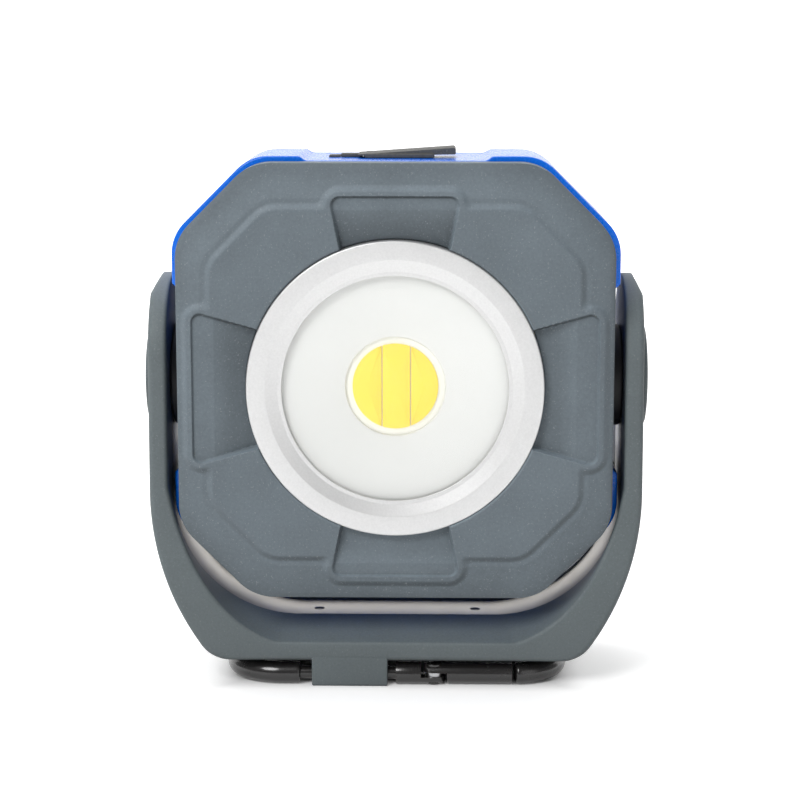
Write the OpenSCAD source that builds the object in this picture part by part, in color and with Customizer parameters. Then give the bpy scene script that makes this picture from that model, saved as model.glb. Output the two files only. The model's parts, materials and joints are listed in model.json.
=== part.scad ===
// Compact rechargeable work light: a round lamp head that tilts in a U-shaped stand, with a
// carabiner that folds flat under the base.
// Frame: millimetres, +Z up, the lamp shines toward -Y and X points to the right.
// The origin is at the middle of the stand's footprint, on the surface that the light rests on.

/* [Head] */
// Height of the tilt axis above the resting surface
pivot_z = 69.3; // [69:0.1:72]
// Height of the head's middle above the tilt axis
head_lift = 1; // [0:0.1:1]
// Depth of the head in front of the tilt axis
front_depth = 23; // [22:0.5:24]
// Depth of the head behind the tilt axis
rear_depth = 23; // [22.5:0.5:24]
// Half width of the head across its raised corners
head_hw = 50.3; // [50:0.1:50.8]
// Half height of the head across its raised corners
head_hh = 50.1; // [49.5:0.1:50.1]
// Half length of the shallow recess in the middle of each side
recess_half = 20.6; // [16:0.1:24]

/* [Lamp] */
// Outer radius of the bezel ring
bezel_r = 33.2; // [33:0.1:34]
// Radius of the clear opening inside the bezel
window_r = 25.1; // [23:0.1:25.2]
// Radius of the hole in the middle of the reflector
aperture_r = 11.15; // [10.5:0.05:12]
// Radius of the glowing LED surface
phosphor_r = 9.75; // [8:0.05:10]

/* [Stand] */
// Half width of the stand outside its arms
stand_hw = 55.7; // [55.5:0.1:57]
// Thickness of each arm
arm_t = 4.2; // [4.2:0.1:4.6]
// Half depth of the base, front to back
base_hd = 20; // [20:0.5:21]
// Height of the arms' tops
arm_top = 92.9; // [92:0.1:96]
// Width of the steel strap inside the stand
strap_w = 17; // [15:0.5:18]
// Thickness of the steel strap
strap_t = 1.2; // [1:0.1:1.2]

/* [Carabiner] */
// Diameter of the carabiner's rod
rod_d = 5; // [4.6:0.1:5]
// Half width of the carabiner, between its rod centrelines
ring_hw = 37; // [34:0.5:37]
// Length of the carabiner, between its rod centrelines
ring_len = 31; // [29:0.5:32]
// Radius of the carabiner's corners, at the rod centreline
ring_corner = 10.75; // [10:0.25:11]

/* [Hidden] */
$fn = 72;
arc_steps = 8;
eps = 0.01;
gap = 0.05;
through = 80;

// Colours
rubber_grey = [0.27, 0.29, 0.31];
stand_grey = [0.36, 0.39, 0.41];
body_blue = [0.02, 0.2, 0.75];
black = [0.06, 0.06, 0.07];
silver = [0.78, 0.79, 0.8];
steel = [0.62, 0.6, 0.57];
white = [0.95, 0.94, 0.91];
board_green = [0.05, 0.35, 0.2];

// Head outline
head_z = pivot_z + head_lift;
head_cut = 82.6;
head_round = 10;
recess_d = 1;
side_recess_d = 1.9;
split_y = -14.2;
rear_fillet = 9;
cover_y = rear_depth - rear_fillet;
wall = 2.4;
bumper_hw = head_hw - 1.6;
bumper_hh = head_hh - 1.1;
bumper_cut = 81;
bumper_round = 11;
bumper_fillet = 1.3;
panel_rise = 0.75;
band_y = panel_rise - front_depth;
cavity_hw = head_hw - side_recess_d - wall;
cavity_hh = head_hh - recess_d - wall;
cavity_cut = 79.2;
cavity_round = 8;
tier_hw = 45.5;
tier_hh = 45.3;
tier_cut = 78;
panel_hw = 42.3;
panel_hh = 40.4;
panel_cut = 69.5;
panel_round = 8;
cover_in_hw = 42.6;
cover_in_hh = 42.2;
cover_in_cut = 74;
cover_in_round = 9;
seal_t = 1.5;
column_x = 36.3;
column_r = 5;
screw_r = 1.5;
screw_head_r = 2.8;
screw_seat_y = 18;
screw_front_y = -17;
boss_end_y = 9.9;

// Lamp stack: distances in front of the tilt axis
face_f = front_depth;
lip_f = face_f - 1.2;
lens_f = lip_f - 1.2;
seat_f = lens_f - 1;
dish_f = face_f - 4.8;
board_f = face_f - 5.6;
sink_f = board_f - 1.5;
skirt_f = face_f - 8;
sink_back_f = 10.2;
stack_r = bezel_r - 2.8;
gasket_r = 27.2;
board_r = 14;
frame_front_f = 18;
frame_back_f = 12.2;

// Charge port and rear controls
port_y = 0.6;
recess_top = head_z + head_hh - recess_d;
flap_t = 0.9;
flap_hinge_x = -12.4;
flap_end_x = 13.4;
flap_hd = 6;
flap_lever_x = -8.8;
tail_hd = 2;
flap_hinge_z = recess_top + flap_t / 2;
tab_rise = 0.6;
tab_top = 2.4;
plug_w = 15.4;
plug_d = 7;
plug_depth = 2.2;
board_front_y = 2.2;
board_back_y = 3.8;
control_z = head_z + 30;
button_r = 8;
button_travel = 0.8;
button_stem_r = 2.5;
plate_t = 0.8;
plate_y = rear_depth - plate_t;
plate_x0 = -16;
plate_x1 = 30;
plate_hh = 11;
indicator_r = 1.25;
stem_end_y = 8.9;
cover_inner_y = rear_depth - 2.5;
indicator_x = [13, 17, 21, 25];
cell_r = 9.2;
cell_len = 65;
cell_y = 9.6;
cell_z = 9.6;

// Tilt pivot, from the head outward along X
arm_in = stand_hw - arm_t;
hub_wall_x = head_hw - side_recess_d;
hub_in_x = cavity_hw;
hub_r = 11.7;
spigot_r = 5.5;
key_r = 7;
web_x = arm_in + 2;
seat_r = 9.5;
cap_r = 11.6;
cap_t = 1.4;
bolt_r = 2;
washer_t = 0.5;
nut_r = 4.04;
nut_t = 3.2;

// Stand profile
under_z = 5.9;
side_r = 62;
side_c = [stand_hw - side_r, 45];
heel_r = 8;
heel_reach = side_r - heel_r;
heel_drop = side_c[1] - under_z - heel_r;
heel_c = [side_c[0] + sqrt(heel_reach * heel_reach - heel_drop * heel_drop), under_z + heel_r];
heel_angle = -asin(heel_drop / heel_reach);
bend_r = 30;
strap_z = 13;
bend_c = [arm_in - bend_r, strap_z + bend_r];
crest_rise = 1.2;
crest_r = bend_r - crest_rise;
crest_c = [arm_in - crest_r, strap_z + crest_rise + crest_r];
lip_z = 10.3;
lip_curve = [[27.5, lip_z], [45, 16.5], [arm_in, 46]];
strap_hole_x = 18.4;
strap_hole_r = 1.15;
strap_pin_z = 8.5;
arm_round = 18;
arm_chamfer_x = 1.8;
arm_chamfer_z = 3.8;
magnet_r = 6;
magnet_x = 14;
magnet_y = 1.5;
magnet_top = 7.9;

// Carabiner
rod_r = rod_d / 2;
axis_y = -17.1;
axis_z = rod_r;
boss_x0 = -19.1;
boss_x1 = -1.8;
boss_back_y = -13.5;
pin_r = 1.5;
pin_x1 = 4.6;
rod_end_x = -21.8;
knuckle_x0 = 0.1;
rivet_x = 8.8;
rivet_r = 1;
rivet_head_r = 1.8;
rivet_head_t = 0.6;
lap = 2;
gate_r = 2.3;
gate_tip_x = 26.7;
nose_x = 27.1;

// Points along an arc about c, from angle a0 to a1.
function arc(c, r, a0, a1, n = arc_steps) =
    [for (i = [0 : n]) let (a = a0 + (a1 - a0) * i / n) c + r * [cos(a), sin(a)]];

// The list back to front, each point scaled by s.
function flipped(points, s) =
    [for (i = [len(points) - 1 : -1 : 0]) [points[i][0] * s[0], points[i][1] * s[1]]];

// A left-right symmetric outline from its right half, listed anticlockwise.
function both_sides(right) = concat(right, flipped(right, [-1, 1]));

// Octagon with half width hw, half height hh, corners cut along |x| + |z| = cut, and arcs of radius r.
function octagon_quarter(hw, hh, cut, r) =
    let (reach = cut - r * sqrt(2))
    concat(
        arc([hw - r, reach - (hw - r)], r, 0, 45),
        arc([reach - (hh - r), hh - r], r, 45, 90)
    );

function octagon(hw, hh, cut, r) =
    let (q = octagon_quarter(hw, hh, cut, r), top = both_sides(q))
    concat(top, flipped(top, [1, -1]));

function inset_octagon(hw, hh, cut, r, d) = octagon(hw - d, hh - d, cut - d * sqrt(2), r - d);

// Points along a quadratic curve with three control points.
function curve(c, n = 2 * arc_steps) =
    [for (i = [0 : n]) let (t = i / n)
        (1 - t) * (1 - t) * c[0] + 2 * t * (1 - t) * c[1] + t * t * c[2]];

// Right half of the U's inside: flat at height z, an arc of radius r about c, then straight up.
function u_inside(c, r) = concat(arc(c, r, -90, 0, 2 * arc_steps), [[c[0] + r, through + pivot_z]]);

// A flat XZ outline made solid between two depths.
module between_y(y0, y1) {
    translate([0, y1, 0])
        rotate([90, 0, 0])
            linear_extrude(y1 - y0)
                children();
}

// An outline in the head's own XZ frame, made solid between two depths.
module head_slab(y0, y1) {
    translate([0, 0, head_z])
        between_y(y0, y1)
            children();
}

// A solid of revolution about the lamp's axis, from a profile of (radius, distance in front).
module turned(profile) {
    translate([0, 0, pivot_z])
        rotate([90, 0, 0])
            rotate_extrude()
                polygon(profile);
}

// A disc about the lamp's axis, between two distances in front of the tilt axis.
module lamp_disc(r, f0, f1) {
    translate([0, -f0, pivot_z])
        rotate([90, 0, 0])
            cylinder(r = r, h = f1 - f0);
}

// A rod along X, y and z being its axis.
module rod_x(r, x0, x1, y, z) {
    translate([x0, y, z])
        rotate([0, 90, 0])
            cylinder(r = r, h = x1 - x0);
}

// A rod along Y, x and z being its axis.
module rod_y(r, y0, y1, x, z) {
    translate([x, y1, z])
        rotate([90, 0, 0])
            cylinder(r = r, h = y1 - y0);
}

// A rod on the tilt axis, on the side that s points to.
module pivot_rod(r, x0, x1, s) {
    if (s > 0) rod_x(r, x0, x1, 0, pivot_z);
    else rod_x(r, -x1, -x0, 0, pivot_z);
}

// A box between two corners.
module block(low, high) {
    translate(low)
        cube(high - low);
}

// Four copies, one at each corner column of the head.
module at_columns() {
    for (sx = [-1, 1], sz = [-1, 1])
        translate([sx * column_x, 0, head_z + sz * column_x])
            children();
}

// ---- Head ----

// The outline of the space inside the housing, moved inward by d.
module cavity_outline(d) {
    polygon(inset_octagon(cavity_hw, cavity_hh, cavity_cut, cavity_round, d));
}

// A trapezoid pocket in the bumper's front, from the ring outward. It is near_hw wide each way beside
// the ring and far_hw at the distance far.
module bumper_pocket(angle, near_hw, far_hw, far) {
    pocket_depth = 2.4;
    near = bezel_r - 4;
    translate([0, 0, pivot_z])
        rotate([0, angle, 0])
            between_y(-front_depth - eps, pocket_depth - front_depth)
                polygon([[-near_hw, near], [near_hw, near], [far_hw, far], [-far_hw, far]]);
}

module front_bumper() {
    panel_bevel = 0.9;
    color(rubber_grey)
        difference() {
            union() {
                hull() {
                    for (a = [0 : 22.5 : 90]) {
                        inset = bumper_fillet * (1 - cos(a));
                        y = band_y + bumper_fillet * (1 - sin(a));
                        head_slab(y, y + eps)
                            polygon(inset_octagon(bumper_hw, bumper_hh, bumper_cut, bumper_round, inset));
                    }
                    head_slab(split_y - eps, split_y)
                        polygon(octagon(bumper_hw, bumper_hh, bumper_cut, bumper_round));
                }
                hull() {
                    head_slab(-front_depth, eps - front_depth)
                        polygon(inset_octagon(panel_hw, panel_hh, panel_cut, panel_round, panel_bevel));
                    head_slab(band_y, band_y + 1)
                        polygon(octagon(panel_hw, panel_hh, panel_cut, panel_round));
                }
            }
            lamp_disc(bezel_r + gap, 0, front_depth + 1);
            for (a = [0, 180]) bumper_pocket(a, 11.9, 14.7, 43);
            for (a = [90, 270]) bumper_pocket(a, 13.1, 17.7, 45.5);
            head_slab(-frame_front_f, split_y + 1)
                polygon(inset_octagon(tier_hw, tier_hh, tier_cut, cavity_round, -gap));
        }
}

module front_frame() {
    color(black)
        difference() {
            union() {
                head_slab(-frame_front_f, -frame_back_f)
                    polygon(octagon(tier_hw, tier_hh, tier_cut, cavity_round));
                head_slab(split_y, -frame_back_f)
                    cavity_outline(gap);
            }
            lamp_disc(bezel_r + 0.1, skirt_f, frame_front_f + 1);
            lamp_disc(stack_r + 0.1, 0, skirt_f + 1);
            at_columns()
                rod_y(screw_r, screw_front_y - 0.2, 0, 0, 0);
        }
}

module housing_shell() {
    color(body_blue)
        difference() {
            union() {
                difference() {
                    head_slab(split_y, cover_y)
                        polygon(octagon(head_hw, head_hh, head_cut, head_round));
                    side_recesses();
                    head_slab(split_y - 1, cover_y + 1)
                        cavity_outline(0);
                }
                at_columns()
                    rod_y(column_r, -frame_back_f, boss_end_y, 0, 0);
            }
            at_columns()
                rod_y(screw_r + gap, -frame_back_f - 1, boss_end_y + 1, 0, 0);
            for (s = [-1, 1]) pivot_rod(key_r + gap, hub_in_x - 1, stand_hw, s);
            block(
                [-plug_w / 2 - 0.1, port_y - plug_d / 2 - 0.1, recess_top - wall - 1],
                [plug_w / 2 + 0.35, port_y + plug_d / 2 + 0.1, recess_top + 1]
            );
            translate([flap_hinge_x - 2, port_y, recess_top - wall - 1])
                cylinder(r = 1 + gap, h = wall + 2);
        }
}

// The shallow recesses in the middle of the top, the bottom and both sides.
module side_recesses() {
    for (s = [-1, 1]) {
        translate([-recess_half, -through / 2, head_z + s * (head_hh - recess_d) - (s < 0 ? through : 0)])
            cube([2 * recess_half, through, through]);
        translate([s * (head_hw - side_recess_d) - (s < 0 ? through : 0), -through / 2, head_z - recess_half])
            cube([through, through, 2 * recess_half]);
    }
}

module cover_inside() {
    polygon(octagon(cover_in_hw, cover_in_hh, cover_in_cut, cover_in_round));
}

module rear_cover() {
    lip_y = boss_end_y + gap;
    color(body_blue)
        difference() {
            union() {
                difference() {
                    hull() {
                        for (a = [18 : 18 : 90]) {
                            inset = rear_fillet * (1 - cos(a));
                            y = rear_depth - rear_fillet * (1 - sin(a));
                            head_slab(y - eps, y)
                                polygon(inset_octagon(head_hw, head_hh, head_cut, head_round, inset));
                        }
                        head_slab(cover_y, cover_y + eps)
                            polygon(octagon(head_hw, head_hh, head_cut, head_round));
                    }
                    side_recesses();
                    head_slab(cover_y - 1, cover_inner_y)
                        cover_inside();
                }
                difference() {
                    head_slab(lip_y, cover_y + 1)
                        cavity_outline(seal_t + 2 * gap);
                    head_slab(lip_y - 1, cover_y + 2)
                        cover_inside();
                }
                at_columns() {
                    rod_y(screw_r + 1.5, lip_y, cover_y, 0, 0);
                    rod_y(screw_head_r + 1.4, cover_y, cover_inner_y, 0, 0);
                }
            }
            at_columns() {
                rod_y(screw_r + gap, lip_y - 1, rear_depth + 1, 0, 0);
                rod_y(screw_head_r + 0.1, screw_seat_y, rear_depth + 1, 0, 0);
            }
            rod_y(button_r + gap, cover_inner_y - 1, rear_depth + 1, 0, control_z);
            for (x = indicator_x)
                rod_y(indicator_r + gap, cover_inner_y - 1, rear_depth + 1, x, control_z);
            block(
                [plate_x0, plate_y - plate_t, control_z - plate_hh],
                [plate_x1, rear_depth + 1, control_z + plate_hh]
            );
        }
}

module housing_seal() {
    color(black)
        head_slab(12, cover_y)
            difference() {
                cavity_outline(gap);
                cavity_outline(seal_t + gap);
            }
}

module housing_screws() {
    head_top_y = screw_seat_y + 1.8;
    color(steel)
        at_columns()
            difference() {
                union() {
                    rod_y(screw_r, screw_front_y, screw_seat_y + 1, 0, 0);
                    rod_y(screw_head_r, screw_seat_y + eps, head_top_y, 0, 0);
                }
                translate([0, head_top_y + 0.2, 0])
                    rotate([90, 0, 0])
                        cylinder(r = screw_head_r / 2, h = 1.4, $fn = 6);
            }
}

module bezel_ring() {
    lip_r = window_r + 0.2;
    edge = 0.4;
    color(silver)
        turned([
            [lip_r, lip_f], [lip_r, lip_f + 0.2], [lip_r + 0.9, lip_f + 0.2], [bezel_r - 4.3, face_f],
            [bezel_r - edge, face_f], [bezel_r, face_f - edge], [bezel_r, skirt_f],
            [stack_r + 0.2, skirt_f], [stack_r + 0.2, lip_f]
        ]);
}

module lens() {
    color([0.9, 0.95, 1, 0.3])
        lamp_disc(stack_r, lens_f, lip_f);
}

module lens_gasket() {
    color(black)
        turned([[gasket_r, seat_f], [stack_r, seat_f], [stack_r, lens_f], [gasket_r, lens_f]]);
}

module reflector() {
    rim_r = gasket_r - 0.2;
    rim_f = lens_f - 0.1;
    color(white)
        turned([
            [aperture_r, board_f + gap], [aperture_r, dish_f], [window_r, rim_f], [rim_r, rim_f],
            [rim_r, seat_f], [stack_r, seat_f], [stack_r, sink_f], [rim_r, sink_f], [rim_r, board_f + gap]
        ]);
}

module led_board() {
    color(white)
        lamp_disc(board_r, sink_f, board_f);
}

// The glowing surface: three segments with narrow seams between them.
module led_phosphor() {
    seam = 0.25;
    height = 0.5;
    cuts = [-phosphor_r, -3, 3.4, phosphor_r];
    color([0.99, 0.93, 0.4])
        for (i = [0 : 2])
            intersection() {
                lamp_disc(phosphor_r, board_f, board_f + height);
                block(
                    [cuts[i] + seam / 2, -face_f, pivot_z - phosphor_r],
                    [cuts[i + 1] - seam / 2, 0, pivot_z + phosphor_r]
                );
            }
}

module heat_sink() {
    flange_r = 34.8;
    fin_t = 1.6;
    fin_hh = 22;
    fin_back_y = -5.5;
    color(silver) {
        union() {
            lamp_disc(stack_r, frame_back_f, sink_f);
            lamp_disc(flange_r, sink_back_f, frame_back_f);
            for (x = [-24 : 6 : 24])
                block(
                    [x - fin_t / 2, -sink_back_f - eps, pivot_z - fin_hh],
                    [x + fin_t / 2, fin_back_y, pivot_z + fin_hh]
                );
        }
    }
}

module driver_board() {
    board_hw = 27;
    color(board_green)
        block([-board_hw, board_front_y, head_z + 21.5], [board_hw, board_back_y, head_z + 45]);
}

module button_switch() {
    hw = 3;
    stem_y = board_back_y + 3.5;
    color(black) {
        union() {
            block([-hw, board_back_y, control_z - hw], [hw, stem_y, control_z + hw]);
            rod_y(1.6, stem_y - eps, stem_end_y - button_travel - gap, 0, control_z);
        }
    }
}

module usb_socket() {
    top = recess_top - wall - 0.3;
    hw = 4.5;
    depth = 3.2;
    sheet = 0.35;
    color(steel)
        difference() {
            block([-hw, board_front_y - depth, top - 7.4], [hw, board_front_y, top]);
            block(
                [sheet - hw, board_front_y - depth + sheet, top - 6.4],
                [hw - sheet, board_front_y - sheet, top + 1]
            );
        }
}

// The two battery cells' space, lying along X, with a radius r and a length l.
module cell_pair(r, l) {
    for (s = [-1, 1]) rod_x(r, -l / 2, l / 2, cell_y, head_z + s * cell_z);
}

module battery_cells() {
    color([0.2, 0.5, 0.35])
        cell_pair(cell_r, cell_len);
}

module battery_holder() {
    hw = cell_len / 2 + 2;
    hh = cell_z + cell_r + 1.6;
    color(black)
        difference() {
            block([-hw, -4.5, head_z - hh], [hw, 8, head_z + hh]);
            cell_pair(cell_r + gap, cell_len + 0.1);
        }
}

module control_plate() {
    color(rubber_grey)
        difference() {
            block(
                [plate_x0 + gap, plate_y - plate_t, control_z - plate_hh + gap],
                [plate_x1 - gap, plate_y, control_z + plate_hh - gap]
            );
            rod_y(button_r + gap, cover_inner_y, rear_depth, 0, control_z);
            for (x = indicator_x) rod_y(indicator_r + gap, cover_inner_y, rear_depth, x, control_z);
        }
}

module indicator_lenses() {
    color(white)
        for (x = indicator_x) rod_y(indicator_r, cover_inner_y, plate_y + 0.1, x, control_z);
}

module flap_anchor() {
    color(rubber_grey) {
        union() {
            block(
                [flap_hinge_x - 3.1, port_y - tail_hd, recess_top],
                [flap_hinge_x - flap_t / 2 - gap, port_y + tail_hd, flap_hinge_z]
            );
            translate([flap_hinge_x - 2, port_y, recess_top - wall])
                cylinder(r = 1, h = wall + 0.5);
        }
    }
}

// The charge port's flap: it turns on a narrow tail at its left, and its right end is a finger tab.
module port_flap() {
    hinge_r = flap_t / 2 - gap;
    color(rubber_grey) {
        union() {
            rod_y(hinge_r, port_y - tail_hd, port_y + tail_hd, flap_hinge_x, flap_hinge_z);
            block(
                [flap_hinge_x, port_y - tail_hd, recess_top + gap],
                [flap_lever_x + 1, port_y + tail_hd, recess_top + flap_t - gap]
            );
            translate([0, 0, recess_top])
                between_y(port_y - flap_hd, port_y + flap_hd)
                    polygon([
                        [flap_lever_x, gap], [plug_w / 2 + 1, gap], [flap_end_x, tab_rise],
                        [flap_end_x, tab_top], [flap_lever_x, flap_t]
                    ]);
            block(
                [-plug_w / 2, port_y - plug_d / 2, recess_top - plug_depth],
                [plug_w / 2, port_y + plug_d / 2, recess_top + 2 * gap]
            );
        }
    }
}

module power_button() {
    color(black) {
        union() {
            rod_y(button_r, cover_inner_y - 0.2, rear_depth, 0, control_z);
            rod_y(button_r + 1.3, cover_inner_y - 1.2, cover_inner_y - 0.1, 0, control_z);
            rod_y(button_stem_r, stem_end_y, cover_inner_y - 1, 0, control_z);
        }
    }
}

// ---- Tilt pivot ----

// A hub that is keyed into the head and turns in one arm of the stand.
module hub(s) {
    color(black)
        difference() {
            union() {
                pivot_rod(key_r, hub_in_x, hub_wall_x + eps, s);
                pivot_rod(hub_r, hub_wall_x, arm_in - 0.1, s);
                pivot_rod(spigot_r, arm_in - 0.2, web_x + gap, s);
            }
            pivot_rod(bolt_r + gap, hub_in_x - 1, stand_hw, s);
        }
}

module hub_left() {
    hub(-1);
}

module hub_right() {
    hub(1);
}

module pivot_screws() {
    head_x = web_x + washer_t + 3 * gap;
    head_r = 3.9;
    color(steel)
        for (s = [-1, 1])
            difference() {
                union() {
                    pivot_rod(bolt_r, hub_in_x - 4, head_x + eps, s);
                    pivot_rod(head_r, head_x, stand_hw - 0.2, s);
                }
                translate([s * (stand_hw - 0.8), 0, pivot_z])
                    rotate([0, 90 * s, 0])
                        cylinder(r = 1.7, h = 2, $fn = 6);
            }
}

module pivot_washers() {
    washer_r = 8;
    color(steel)
        for (s = [-1, 1])
            difference() {
                pivot_rod(washer_r, web_x + 2 * gap, web_x + 2 * gap + washer_t, s);
                pivot_rod(bolt_r + gap, web_x - 1, stand_hw, s);
            }
}

module pivot_nuts() {
    color(steel)
        for (s = [-1, 1])
            difference() {
                translate([s * (hub_in_x - nut_t / 2), 0, pivot_z])
                    rotate([0, 90, 0])
                        cylinder(r = nut_r, h = nut_t, center = true, $fn = 6);
                pivot_rod(bolt_r, hub_in_x - 2 * nut_t, stand_hw, s);
            }
}

// A cover that clips into one arm, over the pivot screw.
module pivot_cap(s) {
    skirt_r = seat_r - gap;
    skirt_x = stand_hw - 1.3;
    edge = 0.8;
    color(stand_grey)
        translate([0, 0, pivot_z])
            rotate([0, 90 * s, 0])
                rotate_extrude()
                    polygon([
                        [0, stand_hw], [skirt_r - 0.7, stand_hw], [skirt_r - 0.7, skirt_x],
                        [skirt_r, skirt_x], [skirt_r, stand_hw], [cap_r, stand_hw],
                        [cap_r, stand_hw + cap_t - edge], [cap_r - edge, stand_hw + cap_t],
                        [0, stand_hw + cap_t]
                    ]);
}

module pivot_cap_left() {
    pivot_cap(-1);
}

module pivot_cap_right() {
    pivot_cap(1);
}

// ---- Stand ----

// The side view of the arms: tapering upward to a round top.
module arm_side_view() {
    top_z = arm_top - arm_round;
    taper_z = 20;
    rotate([90, 0, 90])
        linear_extrude(4 * stand_hw, center = true) {
            union() {
                polygon([
                    [-base_hd, 0], [base_hd, 0], [base_hd, taper_z],
                    [arm_round, top_z], [-arm_round, top_z], [-base_hd, taper_z]
                ]);
                translate([0, top_z])
                    circle(r = arm_round);
            }
        }
}

// The U-shaped space inside the strap's surface moved outward by out, within hd of the middle.
module strap_space(out, hd) {
    intersection() {
        between_y(-hd, hd)
            polygon(both_sides(u_inside(bend_c, bend_r + out)));
        rotate([90, 0, 90])
            linear_extrude(4 * stand_hw, center = true) {
                union() {
                    translate([-hd, 0])
                        square([2 * hd, pivot_z]);
                    translate([0, pivot_z])
                        circle(r = hd);
                }
            }
    }
}

// One lip's inside face: it slopes from the strap's edge down to the base's front or rear edge.
module lip_space() {
    hull() {
        between_y(-strap_w / 2 - 0.1, -strap_w / 2)
            polygon(both_sides(u_inside(crest_c, crest_r)));
        between_y(-base_hd - 0.1, -base_hd)
            polygon(both_sides(concat(curve(lip_curve), [[arm_in, through + pivot_z]])));
    }
}

module stand_shell() {
    outside_right = concat(
        arc(heel_c, heel_r, -90, heel_angle),
        arc(side_c, side_r, heel_angle, 0, 2 * arc_steps),
        [[stand_hw, arm_top - arm_chamfer_z], [stand_hw - arm_chamfer_x, arm_top]]
    );
    color(stand_grey)
        difference() {
            union() {
                intersection() {
                    between_y(-base_hd, base_hd)
                        polygon(both_sides(outside_right));
                    arm_side_view();
                }
                block([boss_x0, -base_hd, 0], [boss_x1, boss_back_y, under_z + 1]);
            }
            between_y(-strap_w / 2, strap_w / 2)
                polygon(both_sides(u_inside(crest_c, crest_r)));
            lip_space();
            mirror([0, 1, 0])
                lip_space();
            strap_space(strap_t + gap, strap_w / 2 + gap);
            for (s = [-1, 1]) {
                pivot_rod(spigot_r + gap, arm_in - 1, stand_hw + 1, s);
                pivot_rod(seat_r, web_x, stand_hw + 1, s);
            }
            rod_x(pin_r + gap, boss_x0 - 1, boss_x1 + 1, axis_y, axis_z);
            for (s = [-1, 1]) {
                translate([s * magnet_x, magnet_y, 0])
                    cylinder(r = magnet_r + gap, h = magnet_top);
                translate([s * strap_hole_x, 0, strap_pin_z])
                    cylinder(r = strap_hole_r, h = strap_z);
            }
        }
}

module stand_strap() {
    color(steel)
        difference() {
            strap_space(strap_t, strap_w / 2);
            between_y(-base_hd, base_hd)
                polygon(both_sides(u_inside(bend_c, bend_r)));
            for (s = [-1, 1]) {
                pivot_rod(spigot_r + gap, arm_in - 1, stand_hw, s);
                translate([s * strap_hole_x, 0, 0])
                    cylinder(r = strap_hole_r, h = strap_z + 1);
            }
        }
}

module strap_pins() {
    color(black)
        for (s = [-1, 1])
            translate([s * strap_hole_x, 0, strap_pin_z])
                cylinder(r = strap_hole_r - gap / 2, h = strap_z - strap_pin_z - 0.2);
}

module base_magnets() {
    color(silver)
        for (s = [-1, 1])
            translate([s * magnet_x, magnet_y, 0])
                cylinder(r = magnet_r, h = magnet_top);
}

// ---- Carabiner ----

// A quarter bend of the carabiner's rod, about (x, y), from angle a0 through sweep.
module bend(x, y, a0, sweep) {
    translate([x, y, axis_z])
        rotate([0, 0, a0])
            rotate_extrude(angle = sweep)
                translate([ring_corner, 0])
                    circle(r = rod_r);
}

module carabiner_frame() {
    cx = ring_hw - ring_corner;
    front_cy = axis_y + ring_corner;
    rear_y = axis_y + ring_len;
    rear_cy = rear_y - ring_corner;
    color(black)
        difference() {
            union() {
                rod_x(rod_r, -cx, rod_end_x, axis_y, axis_z);
                bend(-cx, front_cy, 180, 90);
                for (s = [-1, 1]) rod_y(rod_r, front_cy, rear_cy, s * ring_hw, axis_z);
                bend(-cx, rear_cy, 90, 90);
                rod_x(rod_r, -cx, cx, rear_y, axis_z);
                bend(cx, rear_cy, 0, 90);
                bend(cx, front_cy, -90, 90);
            }
            rod_x(pin_r, -cx, 0, axis_y, axis_z);
            block([0, axis_y - rod_d, -1], [nose_x, axis_y + rod_d, rod_d + 1]);
        }
}

module carabiner_knuckle() {
    color(black)
        difference() {
            union() {
                rod_x(rod_r, knuckle_x0, rivet_x - rod_r - 0.5, axis_y, axis_z);
                intersection() {
                    rod_x(rod_r, knuckle_x0, rivet_x + rod_r, axis_y, axis_z);
                    union() {
                        block([0, axis_y - rod_d, 0], [rivet_x, axis_y + rod_d, lap]);
                        translate([rivet_x, axis_y, 0])
                            cylinder(r = rod_r, h = lap);
                    }
                }
            }
            rod_x(pin_r, 0, pin_x1, axis_y, axis_z);
            translate([rivet_x, axis_y, -1])
                cylinder(r = rivet_r, h = rod_d + 2);
            translate([rivet_x, axis_y, -1])
                cylinder(r = rivet_head_r, h = rivet_head_t + 1.2);
        }
}

module carabiner_pin() {
    color(black)
        rod_x(pin_r, -ring_hw + ring_corner, pin_x1, axis_y, axis_z);
}

module carabiner_gate() {
    color(black)
        difference() {
            union() {
                rod_x(gate_r, rivet_x + rod_r + 0.5, gate_tip_x, axis_y, axis_z);
                intersection() {
                    rod_x(gate_r, rivet_x - gate_r, rivet_x + rod_d, axis_y, axis_z);
                    union() {
                        block(
                            [rivet_x, axis_y - rod_d, rod_d - lap],
                            [rivet_x + rod_d, axis_y + rod_d, rod_d]
                        );
                        translate([rivet_x, axis_y, rod_d - lap])
                            cylinder(r = gate_r, h = lap);
                    }
                }
            }
            translate([rivet_x, axis_y, 0])
                cylinder(r = rivet_r + gap, h = rod_d + 1);
            translate([rivet_x, axis_y, rod_d - 0.8])
                cylinder(r = rivet_head_r + gap, h = 2);
        }
}

module gate_rivet() {
    color(black)
        translate([rivet_x, axis_y, 0])
            union() {
                translate([0, 0, 0.2])
                    cylinder(r = rivet_head_r, h = rivet_head_t);
                translate([0, 0, 0.7])
                    cylinder(r = rivet_r, h = rod_d - 1.4);
                translate([0, 0, rod_d - 0.75])
                    cylinder(r = rivet_head_r, h = rivet_head_t);
            }
}

module gate_spring() {
    color(steel)
        translate([rivet_x, axis_y, lap + gap])
            difference() {
                cylinder(r = 2, h = rod_d - 2 * lap - 2 * gap);
                translate([0, 0, -1])
                    cylinder(r = rivet_r + gap, h = rod_d);
            }
}

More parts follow.
